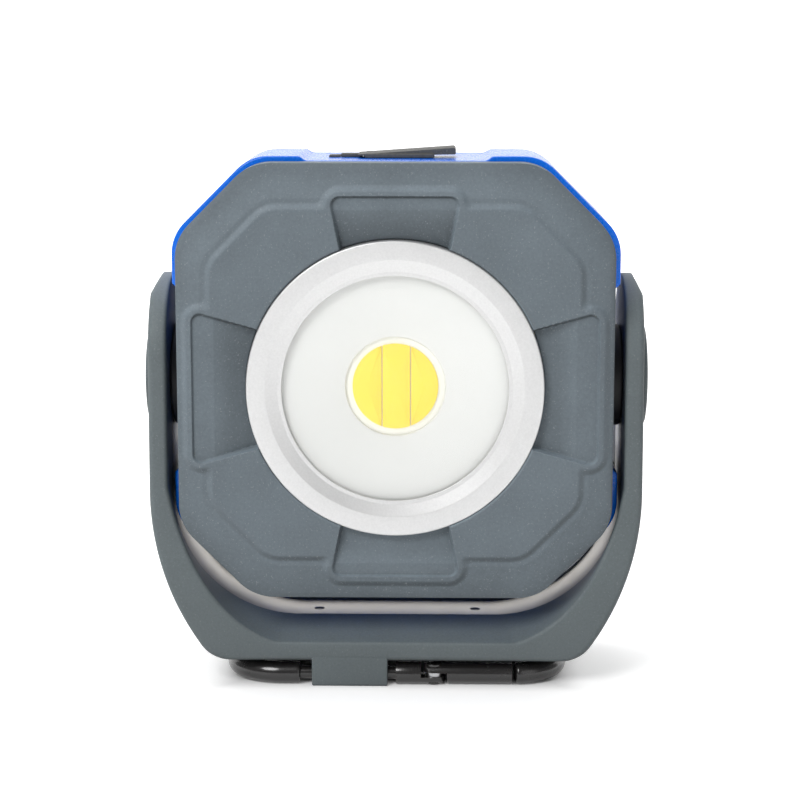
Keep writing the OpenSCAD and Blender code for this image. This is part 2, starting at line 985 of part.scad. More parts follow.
front_bumper();
front_frame();
housing_shell();
rear_cover();
housing_seal();
housing_screws();
bezel_ring();
lens();
lens_gasket();
reflector();
led_board();
led_phosphor();
heat_sink();
driver_board();
button_switch();
usb_socket();
battery_cells();
battery_holder();
control_plate();
indicator_lenses();
flap_anchor();
port_flap();
power_button();
hub_left();
hub_right();
pivot_screws();
pivot_washers();
pivot_nuts();
stand_shell();
stand_strap();
strap_pins();
pivot_cap_left();
pivot_cap_right();
base_magnets();
carabiner_frame();
carabiner_knuckle();
carabiner_pin();
carabiner_gate();
gate_rivet();
gate_spring();
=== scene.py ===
"""Looks of the work light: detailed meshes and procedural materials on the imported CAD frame.
Lengths are in millimetres until a mesh is made, and +Z is up with the lamp facing -Y."""
import json
import math

import bmesh
import bpy
import numpy as np
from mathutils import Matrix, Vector


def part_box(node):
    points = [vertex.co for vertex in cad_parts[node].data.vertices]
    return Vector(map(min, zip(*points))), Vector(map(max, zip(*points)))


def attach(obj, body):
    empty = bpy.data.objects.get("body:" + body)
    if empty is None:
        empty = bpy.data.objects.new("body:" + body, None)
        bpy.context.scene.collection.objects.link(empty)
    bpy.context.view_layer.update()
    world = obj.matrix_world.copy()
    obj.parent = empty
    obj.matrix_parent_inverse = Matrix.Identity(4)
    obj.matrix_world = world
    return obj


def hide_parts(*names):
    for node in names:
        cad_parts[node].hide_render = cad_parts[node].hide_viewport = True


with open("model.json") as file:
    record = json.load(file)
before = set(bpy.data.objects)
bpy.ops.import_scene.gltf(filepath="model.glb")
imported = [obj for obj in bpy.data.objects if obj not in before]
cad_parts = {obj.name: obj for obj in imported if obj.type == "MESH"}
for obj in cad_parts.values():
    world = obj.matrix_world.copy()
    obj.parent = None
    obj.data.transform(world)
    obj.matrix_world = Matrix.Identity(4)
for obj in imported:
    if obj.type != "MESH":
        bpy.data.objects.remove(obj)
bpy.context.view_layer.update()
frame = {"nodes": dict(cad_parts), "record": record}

MM = 0.001
GAP = 0.05
BODY = {n: b for b, members in frame["record"]["behaviour"]["bodies"].items() for n in members}
SLOT = {s["node"]: s["material_slot"] for s in frame["record"]["subparts"]}


def mm_box(node):
    low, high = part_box(node)
    return np.array(low) / MM, np.array(high) / MM


# ---- Places read from the CAD ----

HUB_LOW, HUB_HIGH = mm_box("hub_right")
PIVOT_Z = (HUB_LOW[2] + HUB_HIGH[2]) / 2
SHELL_LOW, SHELL_HIGH = mm_box("housing_shell")
HEAD_Z = (SHELL_LOW[2] + SHELL_HIGH[2]) / 2
HEAD_HW = SHELL_HIGH[0]
HEAD_HH = (SHELL_HIGH[2] - SHELL_LOW[2]) / 2
FRONT_Y = mm_box("front_bumper")[0][1]
SPLIT_Y = SHELL_LOW[1]
COVER_Y = SHELL_HIGH[1]
REAR_Y = mm_box("rear_cover")[1][1]
RING_R = mm_box("bezel_ring")[1][0]
STAND_HIGH = mm_box("stand_shell")[1]
STAND_HW = STAND_HIGH[0]
ARM_TOP = STAND_HIGH[2]
TOP_RECESS_D = 1.0
SIDE_RECESS_D = 1.9
RECESS_TOP = HEAD_Z + HEAD_HH - TOP_RECESS_D


# ---- Meshes ----

def shade(me, sharp):
    me.shade_smooth()
    me.set_sharp_from_angle(angle=math.radians(sharp))


def place(me, name, material, nodes, sharp=35):
    """An object for a mesh that stands for the CAD nodes and rides on their body."""
    shade(me, sharp)
    ob = bpy.data.objects.new(name, me)
    bpy.context.scene.collection.objects.link(ob)
    me.materials.clear()
    me.materials.append(material)
    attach(ob, BODY[nodes[0]])
    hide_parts(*nodes)
    return ob


def clean(me, weld=2e-6):
    bm = bmesh.new()
    bm.from_mesh(me)
    bmesh.ops.remove_doubles(bm, verts=bm.verts, dist=weld)
    bmesh.ops.dissolve_degenerate(bm, edges=bm.edges, dist=1e-7)
    bmesh.ops.recalc_face_normals(bm, faces=bm.faces)
    if bm.calc_volume(signed=True) < 0:
        bmesh.ops.reverse_faces(bm, faces=bm.faces)
    bm.to_mesh(me)
    bm.free()
    return me


def build(name, *shapes):
    """One mesh from shapes of (points in mm, faces)."""
    points, faces, base = [], [], 0
    for verts, fs in shapes:
        verts = np.asarray(verts, float).reshape(-1, 3)
        points.append(verts)
        faces += [[i + base for i in f] for f in fs]
        base += len(verts)
    me = bpy.data.meshes.new(name)
    me.from_pydata((np.vstack(points) * MM).tolist(), [], faces)
    return clean(me)


def loft(rings, closed=False):
    """A skin over rings of points. It is closed along its length, or its ends are capped."""
    rings = np.asarray(rings, float)
    nv, nu = rings.shape[:2]
    faces = []
    for i in range(nv if closed else nv - 1):
        a, b = i * nu, (i + 1) % nv * nu
        faces += [(a + j, a + (j + 1) % nu, b + (j + 1) % nu, b + j) for j in range(nu)]
    verts = rings.reshape(-1, 3)
    if not closed:
        for ring, base in ((rings[0], 0), (rings[-1], (nv - 1) * nu)):
            middle = len(verts)
            verts = np.vstack([verts, ring.mean(0)])
            faces += [(base + j, base + (j + 1) % nu, middle) for j in range(nu)]
    return verts, faces


def fillet(points, radii, steps=5, closed=True):
    """A flat outline with each corner replaced by steps + 1 points on an arc of its radius."""
    pts = np.asarray(points, float)
    n = len(pts)
    radii = np.broadcast_to(radii, n)
    out = []
    for i, p in enumerate(pts):
        if not closed and i in (0, n - 1):
            out.append(p)
            continue
        u, v = pts[i - 1] - p, pts[(i + 1) % n] - p
        lu, lv = np.linalg.norm(u), np.linalg.norm(v)
        u, v = u / max(lu, 1e-9), v / max(lv, 1e-9)
        half = 0.5 * math.acos(np.clip(u @ v, -1, 1))
        reach = min(radii[i] / max(math.tan(half), 1e-6), 0.49 * lu, 0.49 * lv)
        r = reach * math.tan(half)
        if r < 1e-4 or half > 1.55:
            out += [p] * (steps + 1)
            continue
        centre = p + (u + v) / np.linalg.norm(u + v) * r / math.sin(half)
        a, b = p + u * reach - centre, p + v * reach - centre
        whole = math.acos(np.clip(a @ b / (r * r), -1, 1))
        for k in range(steps + 1):
            t = k / steps
            w0, w1 = math.sin((1 - t) * whole), math.sin(t * whole)
            out.append(centre + (a * w0 + b * w1) / math.sin(whole))
    return np.array(out)


def lathe(profile, centre, axis, seg=180, closed=False):
    """A solid of revolution from a profile of (radius, distance along axis)."""
    axis = np.asarray(axis, float)
    e1 = np.array([0, 0, 1.0]) if abs(axis[2]) < 0.9 else np.array([1.0, 0, 0])
    e2 = np.cross(axis, e1)
    t = np.arange(seg) * 2 * math.pi / seg
    round_ = np.cos(t)[:, None] * e1 + np.sin(t)[:, None] * e2
    rings = [np.asarray(centre, float) + axis * h + round_ * r for r, h in profile]
    return loft(rings, closed)


def turned_solid(profile, radii, centre, axis, seg=180):
    """A lathe whose profile starts and ends on the axis and has rounded corners."""
    return lathe(fillet(profile, radii, closed=False), centre, axis, seg)


def prism(outline, y0, y1, r=0.3, steps=3):
    """An XZ outline made solid between two depths, with its end edges rounded."""
    pts = np.asarray(outline, float)
    pts = pts[np.linalg.norm(pts - np.roll(pts, 1, 0), axis=1) > 1e-4]
    area = np.sum(pts[:, 0] * np.roll(pts[:, 1], -1) - np.roll(pts[:, 0], -1) * pts[:, 1])
    along = np.roll(pts, -1, 0) - np.roll(pts, 1, 0)
    along /= np.maximum(np.linalg.norm(along, axis=1), 1e-9)[:, None]
    inward = np.c_[-along[:, 1], along[:, 0]] * (1 if area > 0 else -1)
    rings = []
    angles = [math.pi / 2 * k / steps for k in range(steps + 1)]
    ends = [(y0 + r * (1 - math.sin(a)), r * (1 - math.cos(a))) for a in reversed(angles)]
    ends += [(y1 - r * (1 - math.sin(a)), r * (1 - math.cos(a))) for a in angles]
    for y, inset in ends:
        ring = pts + inward * inset
        rings.append(np.c_[ring[:, 0], np.full(len(ring), y), ring[:, 1]])
    return loft(rings)


def turn(shape, order):
    """A shape with its axes in another order: (1, 0, 2) exchanges X and Y."""
    verts, faces = shape
    return np.asarray(verts)[:, order], faces


def rectangle(x0, z0, x1, z1, r, steps=6):
    return fillet([[x0, z0], [x1, z0], [x1, z1], [x0, z1]], r, steps)


def tube(path, radius, z, end_round, seg=40):
    """A round rod along a path in a level plane, with its two ends rounded."""
    path = np.asarray(path, float)
    along = np.gradient(path, axis=0)
    along /= np.linalg.norm(along, axis=1)[:, None]
    quarter = [math.pi / 2 * k / 5 for k in range(6)]
    ends = [(end_round * (1 - math.sin(a)), radius - end_round * (1 - math.cos(a))) for a in quarter]
    first = [(path[0] + along[0] * s, along[0], r) for s, r in reversed(ends)]
    last = [(path[-1] - along[-1] * s, along[-1], r) for s, r in ends]
    inner = [(p, d, radius) for p, d in zip(path, along)
             if min(np.linalg.norm(p - path[0]), np.linalg.norm(p - path[-1])) > end_round * 1.05]
    rings = []
    t = np.arange(seg) * 2 * math.pi / seg
    for p, d, r in first + inner + last:
        side = np.array([-d[1], d[0]])
        across = r * np.cos(t)
        rings.append(np.c_[p[0] + side[0] * across, p[1] + side[1] * across, z + r * np.sin(t)])
    return loft(rings)


def carve(me, cutter, operation="DIFFERENCE"):
    """me with the cutter's mesh cut away from it, or joined to it."""
    ob = bpy.data.objects.new("work", me)
    tool = bpy.data.objects.new("tool", cutter)
    for o in (ob, tool):
        bpy.context.scene.collection.objects.link(o)
    mod = ob.modifiers.new("cut", "BOOLEAN")
    mod.object, mod.operation, mod.solver = tool, operation, "EXACT"
    bpy.context.view_layer.update()
    out = bpy.data.meshes.new_from_object(ob.evaluated_get(bpy.context.evaluated_depsgraph_get()))
    for o in (ob, tool):
        bpy.data.objects.remove(o)
    return clean(out)


def rounded_copy(node, width, segments=3, angle=25):
    """The CAD node's mesh, welded, with its edges rounded."""
    me = frame["nodes"][node].data.copy()
    bm = bmesh.new()
    bm.from_mesh(me)
    bmesh.ops.remove_doubles(bm, verts=bm.verts, dist=2e-6)
    bmesh.ops.dissolve_limit(bm, angle_limit=math.radians(0.5), verts=bm.verts, edges=bm.edges)
    bm.to_mesh(me)
    bm.free()
    ob = bpy.data.objects.new("work", me)
    bpy.context.scene.collection.objects.link(ob)
    mod = ob.modifiers.new("round", "BEVEL")
    mod.width, mod.segments, mod.limit_method = width * MM, segments, "ANGLE"
    mod.angle_limit = math.radians(angle)
    bpy.context.view_layer.update()
    out = bpy.data.meshes.new_from_object(ob.evaluated_get(bpy.context.evaluated_depsgraph_get()))
    bpy.data.objects.remove(ob)
    return clean(out)


# ---- Outlines ----

def smooth(t):
    t = np.clip(t, 0, 1)
    return t * t * (3 - 2 * t)


def sd_convex(x, z, pts):
    """Signed distance to a convex outline listed anticlockwise, negative inside."""
    nearest, side = np.full(np.shape(x), 1e9), np.full(np.shape(x), -1e9)
    for a, b in zip(pts, np.roll(pts, -1, 0)):
        d = b - a
        length = np.hypot(*d)
        px, pz = x - a[0], z - a[1]
        t = np.clip((px * d[0] + pz * d[1]) / length**2, 0, 1)
        nearest = np.minimum(nearest, np.hypot(px - t * d[0], pz - t * d[1]))
        side = np.maximum(side, (px * d[1] - pz * d[0]) / length)
    return np.where(side > 0, nearest, -nearest)


def sd_octagon(x, z, hw, hh, cut, r):
    """Signed distance to an octagon cut at |x| + |z| = cut, with corners of radius r."""
    hw, hh, cut = hw - r, hh - r, cut - r * math.sqrt(2)
    q = [(hw, cut - hw), (cut - hh, hh)]
    pts = q + [(-b, a) for b, a in reversed(q)]
    pts += [(-b, -a) for b, a in pts]
    return sd_convex(x, z, np.array(pts, float)) - r


def head_octagon(hw, hh, cut, r):
    """The signed distance to an octagon about the head's middle."""
    return lambda x, z: sd_octagon(x, z - HEAD_Z, hw, hh, cut, r)


def inset(pts, d):
    """A convex outline, listed anticlockwise, with each side moved inward by d."""
    pts = np.asarray(pts, float)
    out = []
    for a, p, b in zip(np.roll(pts, 1, 0), pts, np.roll(pts, -1, 0)):
        u, v = (p - a) / np.linalg.norm(p - a), (b - p) / np.linalg.norm(b - p)
        n1, n2 = np.array([-u[1], u[0]]), np.array([-v[1], v[0]])
        out.append(p + (n1 + n2) * d / (1 + n1 @ n2))
    return np.array(out)


def star(sd, theta, level=0.0, cz=PIVOT_Z, far=90.0):
    """How far from (0, cz) each ray reaches before sd passes level."""
    low, high = np.zeros_like(theta), np.full_like(theta, far)
    for _ in range(45):
        mid = (low + high) / 2
        inside = sd(mid * np.sin(theta), cz + mid * np.cos(theta)) < level
        low, high = np.where(inside, mid, low), np.where(inside, high, mid)
    return low


def ring_at(theta, r, y, cz=PIVOT_Z):
    """A ring of points at the angles theta and the distances r from (0, cz), at the depth y."""
    return np.c_[r * np.sin(theta), np.broadcast_to(y, theta.shape), cz + r * np.cos(theta)]


# ---- Materials ----

class Graph:
    """A node tree under construction. Sockets or plain numbers go in, and sockets come out."""

    def __init__(self, name):
        self.material = bpy.data.materials.new(name)
        self.material.use_nodes = True
        self.tree = self.material.node_tree
        self.tree.nodes.clear()
        places = self.node("ShaderNodeTexCoord").outputs
        self.coord, self.normal = places["Object"], places["Normal"]

    def node(self, kind, inputs=(), **settings):
        n = self.tree.nodes.new(kind)
        for key, value in settings.items():
            setattr(n, key, value)
        for key, value in dict(inputs).items():
            if isinstance(value, bpy.types.NodeSocket):
                self.tree.links.new(value, n.inputs[key])
            else:
                n.inputs[key].default_value = value
        return n

    def math(self, op, a, b=0.0, c=0.0):
        return self.node("ShaderNodeMath", {0: a, 1: b, 2: c}, operation=op).outputs[0]

    def dot(self, a, b):
        return self.node("ShaderNodeVectorMath", {0: a, 1: b}, operation="DOT_PRODUCT").outputs["Value"]

    def scaled(self, color, tone):
        return self.node("ShaderNodeVectorMath", {0: color, "Scale": tone}, operation="SCALE").outputs[0]

    def bump(self, height, distance_mm):
        inputs = {"Height": height, "Strength": 1.0, "Distance": distance_mm * MM}
        return self.node("ShaderNodeBump", inputs).outputs[0]

    def noise(self, scale, detail=2.0, rough=0.5, where=None):
        inputs = {"Vector": where or self.coord, "Scale": scale, "Detail": detail, "Roughness": rough}
        return self.node("ShaderNodeTexNoise", inputs).outputs["Fac"]

    def ramp(self, value, low, high):
        inputs = {"Value": value, "From Min": low, "From Max": high}
        return self.node("ShaderNodeMapRange", inputs, interpolation_type="SMOOTHSTEP").outputs["Result"]

    def mix(self, amount, a, b):
        n = self.node("ShaderNodeMix", data_type="RGBA")
        for socket, value in ((n.inputs[0], amount), (n.inputs[6], a), (n.inputs[7], b)):
            if isinstance(value, bpy.types.NodeSocket):
                self.tree.links.new(value, socket)
            else:
                socket.default_value = value if isinstance(value, float) else (*value, 1)
        return n.outputs[2]

    def stretched(self, x, y, z):
        return self.node("ShaderNodeMapping", {"Vector": self.coord, "Scale": (x, y, z)}).outputs[0]


DUST_AND_LIGHT_SIDE = (-0.35, 0.0, 0.95)  # surfaces that face this way, up and to the left, are paler: partly dust, partly painted light from the upper left


def finish_for(name, color, rough, metallic=0.0, mottle=0.1, mottle_scale=110, grain=0.1, grain_scale=1400,
               bump=0.02, speck=0.0, wear_and_highlight=0.25, wear_and_highlight_color=None, coat=0.0, brushed=None, glow=0.0,
               shine=0.5, dust_and_light=0.0, recess_shade=0.0):
    """A procedural material: mottling, grain, pale specks, lighter edges that are partly wear and partly
    painted edge highlight, uneven gloss and bumps.
    Its scales are features per metre, and bump is in millimetres. With its dust-and-light share it is paler
    where it faces up and to the left, partly dust and partly painted light from the upper left, and what lies
    sunk behind the lamp's front is darker by its recess share, as painted shade."""
    g = Graph(name)
    cloud = g.noise(mottle_scale, 4, 0.6)
    fine = g.noise(grain_scale, 2, 0.6, g.stretched(*brushed) if brushed else g.coord)
    tone = g.math("MULTIPLY_ADD", cloud, 2 * mottle, 1 - mottle)
    tone = g.math("MULTIPLY_ADD", fine, 2 * grain, g.math("SUBTRACT", tone, grain))
    # paler where it faces up and to the left: partly dust, partly painted light from the upper left
    if dust_and_light:
        settled_and_lit = g.math("MULTIPLY_ADD", g.dot(g.normal, DUST_AND_LIGHT_SIDE), dust_and_light, 1.0)
        tone = g.math("MULTIPLY", tone, g.math("MAXIMUM", settled_and_lit, 0.4))
    # painted shade: darker where the surface lies sunk behind the lamp's front, in the bumper's pockets and
    # hollows
    if recess_shade:
        depth = g.node("ShaderNodeSeparateXYZ", {"Vector": g.coord}).outputs["Y"]
        sunk = g.ramp(depth, (FRONT_Y + 1) * MM, (FRONT_Y + 2) * MM)
        tone = g.math("MULTIPLY", tone, g.math("MULTIPLY_ADD", sunk, -recess_shade, 1.0))
    base = g.scaled(color, tone)
    if speck:
        dots = g.ramp(g.noise(2600, 1, 0.4), 0.66, 0.74)
        pale = tuple(min(1.0, 0.25 + c) for c in color)
        base = g.mix(g.math("MULTIPLY", dots, speck), base, pale)
    # lighter edges: partly wear, partly a painted edge highlight
    if wear_and_highlight:
        round_normal = g.node("ShaderNodeBevel", {"Radius": 0.5 * MM}, samples=4).outputs[0]
        true_normal = g.node("ShaderNodeNewGeometry").outputs["Normal"]
        turned_away = g.math("SUBTRACT", 1.0, g.dot(round_normal, true_normal))
        patchy = g.math("MULTIPLY", g.ramp(turned_away, 0.02, 0.25), g.ramp(cloud, 0.3, 0.7))
        worn_and_lit = wear_and_highlight_color or tuple(min(1.0, c * 1.6 + 0.04) for c in color)
        base = g.mix(g.math("MULTIPLY", patchy, wear_and_highlight), base, worn_and_lit)
    uneven = g.math("MULTIPLY_ADD", cloud, 0.12, rough - 0.06)
    inputs = {
        "Base Color": base,
        "Metallic": metallic,
        "Roughness": g.math("ADD", uneven, g.math("MULTIPLY_ADD", fine, 0.1, -0.05)),
        "Specular IOR Level": shine,
        "Coat Weight": coat,
        "Coat Roughness": 0.12,
        "Normal": g.bump(g.math("ADD", fine, g.math("MULTIPLY", cloud, 0.4)), bump),
    }
    if glow:
        inputs["Emission Color"] = base
        inputs["Emission Strength"] = glow
    bsdf = g.node("ShaderNodeBsdfPrincipled", inputs)
    g.node("ShaderNodeOutputMaterial", {"Surface": bsdf.outputs[0]})
    return g.material


def clear_finish():
    """Clear plastic: mostly see-through, with a faint uneven gloss."""
    g = Graph("clear_lens")
    see = g.node("ShaderNodeBsdfTransparent", {"Color": (0.985, 0.99, 0.985, 1)})
    rough = g.math("MULTIPLY_ADD", g.noise(300, 2), 0.06, 0.02)
    shine = g.node("ShaderNodeBsdfGlossy", {"Color": (1, 1, 1, 1), "Roughness": rough})
    part = g.math("MULTIPLY_ADD", g.noise(60, 2), 0.02, 0.02)
    both = g.node("ShaderNodeMixShader", {0: part, 1: see.outputs[0], 2: shine.outputs[0]})
    g.node("ShaderNodeOutputMaterial", {"Surface": both.outputs[0]})
    return g.material


bumper_mat = finish_for("bumper_rubber", (0.108, 0.132, 0.15), 0.55, mottle=0.22, mottle_scale=60,
                        grain=0.2, grain_scale=1700, bump=0.014, speck=0.22, wear_and_highlight=0.12, shine=0.35,
                        # the bumper's recesses get painted shade
                        dust_and_light=0.8, recess_shade=0.2)
# The stand's pale edges are made strong enough to paint the highlight along its lip.
stand_mat = finish_for("stand_plastic", (0.094, 0.112, 0.118), 0.55, mottle=0.12, mottle_scale=70, grain=0.18,
                       grain_scale=1900, bump=0.016, speck=0.15, wear_and_highlight=0.3, shine=0.35, dust_and_light=0.6)
blue_mat = finish_for("blue_plastic", (0.0, 0.14, 0.72), 0.27, mottle=0.06, grain=0.03, bump=0.003, wear_and_highlight=0.2,
                      wear_and_highlight_color=(0.005, 0.19, 0.85), shine=0.25, coat=0.12)
ring_mat = finish_for("satin_aluminium", (0.65, 0.65, 0.65), 0.5, metallic=0.85, mottle=0.04, grain=0.1,
                      grain_scale=2200, bump=0.01, wear_and_highlight=0.2, wear_and_highlight_color=(0.95, 0.95, 0.95))
dish_mat = finish_for("white_plastic", (0.73, 0.725, 0.72), 0.5, mottle=0.02, grain=0.008, bump=0.0006,
                      wear_and_highlight=0.0)
board_mat = finish_for("white_board", (0.88, 0.87, 0.82), 0.4, mottle=0.03, grain=0.03, bump=0.003,
                       wear_and_highlight=0.0)
# The phosphor's faint glow is painted light: it brightens the unlit phosphor.
phosphor_mat = finish_for("phosphor", (0.95, 0.7, 0.045), 0.5, mottle=0.03, mottle_scale=250, grain=0.05,
                          grain_scale=2500, bump=0.006, wear_and_highlight=0.0, glow=0.06)
strap_mat = finish_for("strap_steel", (0.34, 0.315, 0.275), 0.36, metallic=1.0, mottle=0.08, mottle_scale=160,
                       grain=0.12, grain_scale=1200, brushed=(0.3, 1.6, 0.3), bump=0.004, wear_and_highlight=0.3,
                       wear_and_highlight_color=(0.8, 0.78, 0.74))
black_metal_mat = finish_for("black_metal", (0.012, 0.011, 0.011), 0.25, mottle=0.15, grain=0.08, bump=0.004,
                             wear_and_highlight=0.15, wear_and_highlight_color=(0.16, 0.12, 0.1), coat=0.5)
black_mat = finish_for("black_plastic", (0.018, 0.018, 0.02), 0.5, mottle=0.12, grain=0.1, bump=0.01,
                       wear_and_highlight=0.2)
seal_mat = finish_for("seal_rubber", (0.03, 0.03, 0.032), 0.7, mottle=0.1, grain=0.12, bump=0.01, wear_and_highlight=0.1)
flap_mat = finish_for("flap_rubber", (0.1, 0.1, 0.092), 0.65, mottle=0.15, grain=0.3, grain_scale=1600,
                      bump=0.03, speck=0.25, wear_and_highlight=0.12, shine=0.3)
steel_mat = finish_for("screw_steel", (0.5, 0.5, 0.51), 0.3, metallic=1.0, mottle=0.06, grain=0.1, bump=0.004,
                       wear_and_highlight=0.4, wear_and_highlight_color=(0.8, 0.8, 0.8))
magnet_mat = finish_for("magnet_steel", (0.72, 0.72, 0.74), 0.22, metallic=1.0, mottle=0.05, grain=0.05,
                        bump=0.002, wear_and_highlight=0.3)
green_mat = finish_for("circuit_board", (0.02, 0.16, 0.07), 0.35, mottle=0.1, grain=0.1, wear_and_highlight=0.1, coat=0.3)
cell_mat = finish_for("cell_wrap", (0.1, 0.35, 0.22), 0.3, mottle=0.05, grain=0.03, bump=0.003, wear_and_highlight=0.1)
lens_mat = clear_finish()
BY_SLOT = {
    "bumper_rubber": bumper_mat, "black_plastic": black_mat, "blue_plastic": blue_mat,
    "seal_rubber": seal_mat, "screw_steel": steel_mat, "satin_aluminium": ring_mat,
    "clear_lens": lens_mat, "white_plastic": dish_mat, "white_board": board_mat,
    "phosphor": phosphor_mat, "circuit_board": green_mat, "cell_wrap": cell_mat,
    "flap_rubber": flap_mat, "stand_plastic": stand_mat, "strap_steel": strap_mat,
    "magnet_steel": magnet_mat, "black_metal": black_metal_mat,
}
for node, ob in frame["nodes"].items():
    ob.data.materials.clear()
    ob.data.materials.append(BY_SLOT[SLOT[node]])


# ---- Bumper ----

PANEL_RISE = 0.75
PANEL_BEVEL = 1.7
BAND_Y = FRONT_Y + PANEL_RISE
BAND_SLOPE = 0.16
BORE_R = RING_R + GAP
BORE_EDGE = 0.5
BUMPER_FILLET = 1.3
TIER_Y = -18.0
# A pocket's half width near the ring and far from it, how far it reaches, and its level stretch there.
SHORT_POCKET = (11.9, 14.7, 43.0, 3.2)
LONG_POCKET = (13.1, 17.7, 45.5, 5.2)
POCKETS = list(enumerate((SHORT_POCKET, LONG_POCKET, SHORT_POCKET, LONG_POCKET)))
POCKET_NEAR = RING_R - 4
POCKET_ROUND = 2.2
POCKET_DEPTH = 1.05
POCKET_FALL = 1.35
WALL_W = 0.6
RIM_W = 2.3
RIM_BLEND = 1.6
bumper_outline = head_octagon(HEAD_HW - 1.6, HEAD_HH - 1.1, 81, 11)
panel_outline = head_octagon(42.3, 40.4, 69.5, 8)
tier_outline = head_octagon(45.5, 45.3, 78, 8)


def pocket_place(x, z, quarter):
    """A point as seen from the pocket that lies this many quarter turns clockwise from the top."""
    z = z - PIVOT_Z
    return [(x, z), (-z, x), (-x, -z), (z, -x)][quarter]


def relief(x, z):
    """How far the bumper's face is behind its outer band: the raised panel, its rims and its pockets."""
    panel = panel_outline(x, z)
    depth = BAND_SLOPE * np.maximum(panel - 1.0, 0)
    hidden = 8
    for quarter, (near_hw, far_hw, far, level) in POCKETS:
        u, v = pocket_place(x, z, quarter)
        low_hw = near_hw - hidden * (far_hw - near_hw) / (far - POCKET_NEAR)
        low = POCKET_NEAR - hidden
        corners = [(-low_hw, low), (low_hw, low), (far_hw, far), (-far_hw, far)]
        pocket = sd_convex(u, v, inset(corners, POCKET_ROUND)) - POCKET_ROUND
        rim = pocket - RIM_W
        h = np.clip(0.5 + 0.5 * (panel - rim) / RIM_BLEND, 0, 1)
        panel = panel * (1 - h) + rim * h - RIM_BLEND * h * (1 - h)
        floor = POCKET_DEPTH + POCKET_FALL * np.clip((far - level - v) / (far - level - RING_R), 0, 1.15)
        wall = 0.6 * np.clip(-pocket / WALL_W, 0, 1) + 0.4 * smooth(-pocket / WALL_W)
        depth = np.maximum(depth, floor * wall)
    return depth - PANEL_RISE * smooth((0.1 - panel) / PANEL_BEVEL)


def bumper():
    n = 1260
    theta = np.arange(n) * 2 * math.pi / n
    flat_r = star(bumper_outline, theta, -BUMPER_FILLET)
    outer_r = star(bumper_outline, theta)

    def height(r):
        return BAND_Y + relief(r * np.sin(theta), PIVOT_Z + r * np.cos(theta))

    rings = [ring_at(theta, np.full(n, BORE_R), TIER_Y)]
    start = np.full(n, BORE_R + BORE_EDGE)
    for k in range(5):
        a = math.pi / 2 * k / 4
        r = BORE_R + BORE_EDGE * (1 - math.cos(a))
        rings.append(ring_at(theta, np.full(n, r), height(start) + BORE_EDGE * (1 - math.sin(a))))
    for t in np.linspace(0, 1, 130)[1:]:
        r = start * (1 - t) + flat_r * t
        rings.append(ring_at(theta, r, height(r)))
    for k in range(1, 9):
        a = math.pi / 2 * (1 - k / 8)
        r = star(bumper_outline, theta, -BUMPER_FILLET * (1 - math.cos(a))) if k < 8 else outer_r
        bulge = (height(r) - BAND_Y) * math.sin(a)
        rings.append(ring_at(theta, r, BAND_Y + BUMPER_FILLET * (1 - math.sin(a)) + bulge))
    for inward, back in ((0, 0.3), (0.1, 0.08), (0.3, 0)):
        rings.append(ring_at(theta, outer_r - inward, SPLIT_Y - back))
    tier_r = star(tier_outline, theta, 0.06)
    rings += [ring_at(theta, tier_r, y) for y in (SPLIT_Y, TIER_Y)]
    place(build("bumper", loft(rings, closed=True)), "bumper_visual", bumper_mat, ["front_bumper"], 60)


bumper()


# ---- Housing ----

# Each side's middle is recessed: level to RECESS_FLAT_HALF from its middle, then out over RECESS_RAMP.
RECESS_FLAT_HALF = 19.8
RECESS_RAMP = 2.0
COVER_FLOOR_Y = REAR_Y - 2.5
COLUMNS = [(sx * 36.3, HEAD_Z + sz * 36.3) for sx in (-1, 1) for sz in (-1, 1)]
COLUMN_R = 4.2
SCREW_HOLE_R, SCREW_HEAD_HOLE_R, SCREW_SEAT_Y = 1.55, 2.9, 18
BUTTON_LOW, BUTTON_HIGH = mm_box("power_button")
BUTTON_Z = (BUTTON_LOW[2] + BUTTON_HIGH[2]) / 2
LAMPS_X = [13, 17, 21, 25]
LAMP_R = 1.25
PLATE_LOW, PLATE_HIGH = mm_box("control_plate")


def recess_share(a):
    """How much of a side's recess is reached at the distance a from the side's middle."""
    return 1 - smooth((a - RECESS_FLAT_HALF) / RECESS_RAMP)


def housing_outline(x, z, inward=0.0):
    zh = z - HEAD_Z
    top = np.abs(zh) - (HEAD_HH - TOP_RECESS_D * recess_share(np.abs(x)))
    side = np.abs(x) - (HEAD_HW - SIDE_RECESS_D * recess_share(np.abs(zh)))
    return np.maximum(sd_octagon(x, zh, HEAD_HW, HEAD_HH, 82.6, 10) + inward, np.maximum(top, side))


def rod(r, low, high, centre, axis, seg=48):
    """A plain rod between two distances from centre along an axis."""
    return lathe([(0, low), (r, low), (r, high), (0, high)], centre, axis, seg)


def both_sides(profile, seg):
    """A profile turned about the tilt axis, on the left and on the right."""
    return [lathe(profile, (0, 0, PIVOT_Z), (s, 0, 0), seg) for s in (-1, 1)]


N_HOUSING = 960
THETA_HOUSING = np.arange(N_HOUSING) * 2 * math.pi / N_HOUSING


def head_star(outline):
    return star(outline, THETA_HOUSING, 0, HEAD_Z)


def head_ring(r, y):
    return ring_at(THETA_HOUSING, r, y, HEAD_Z)


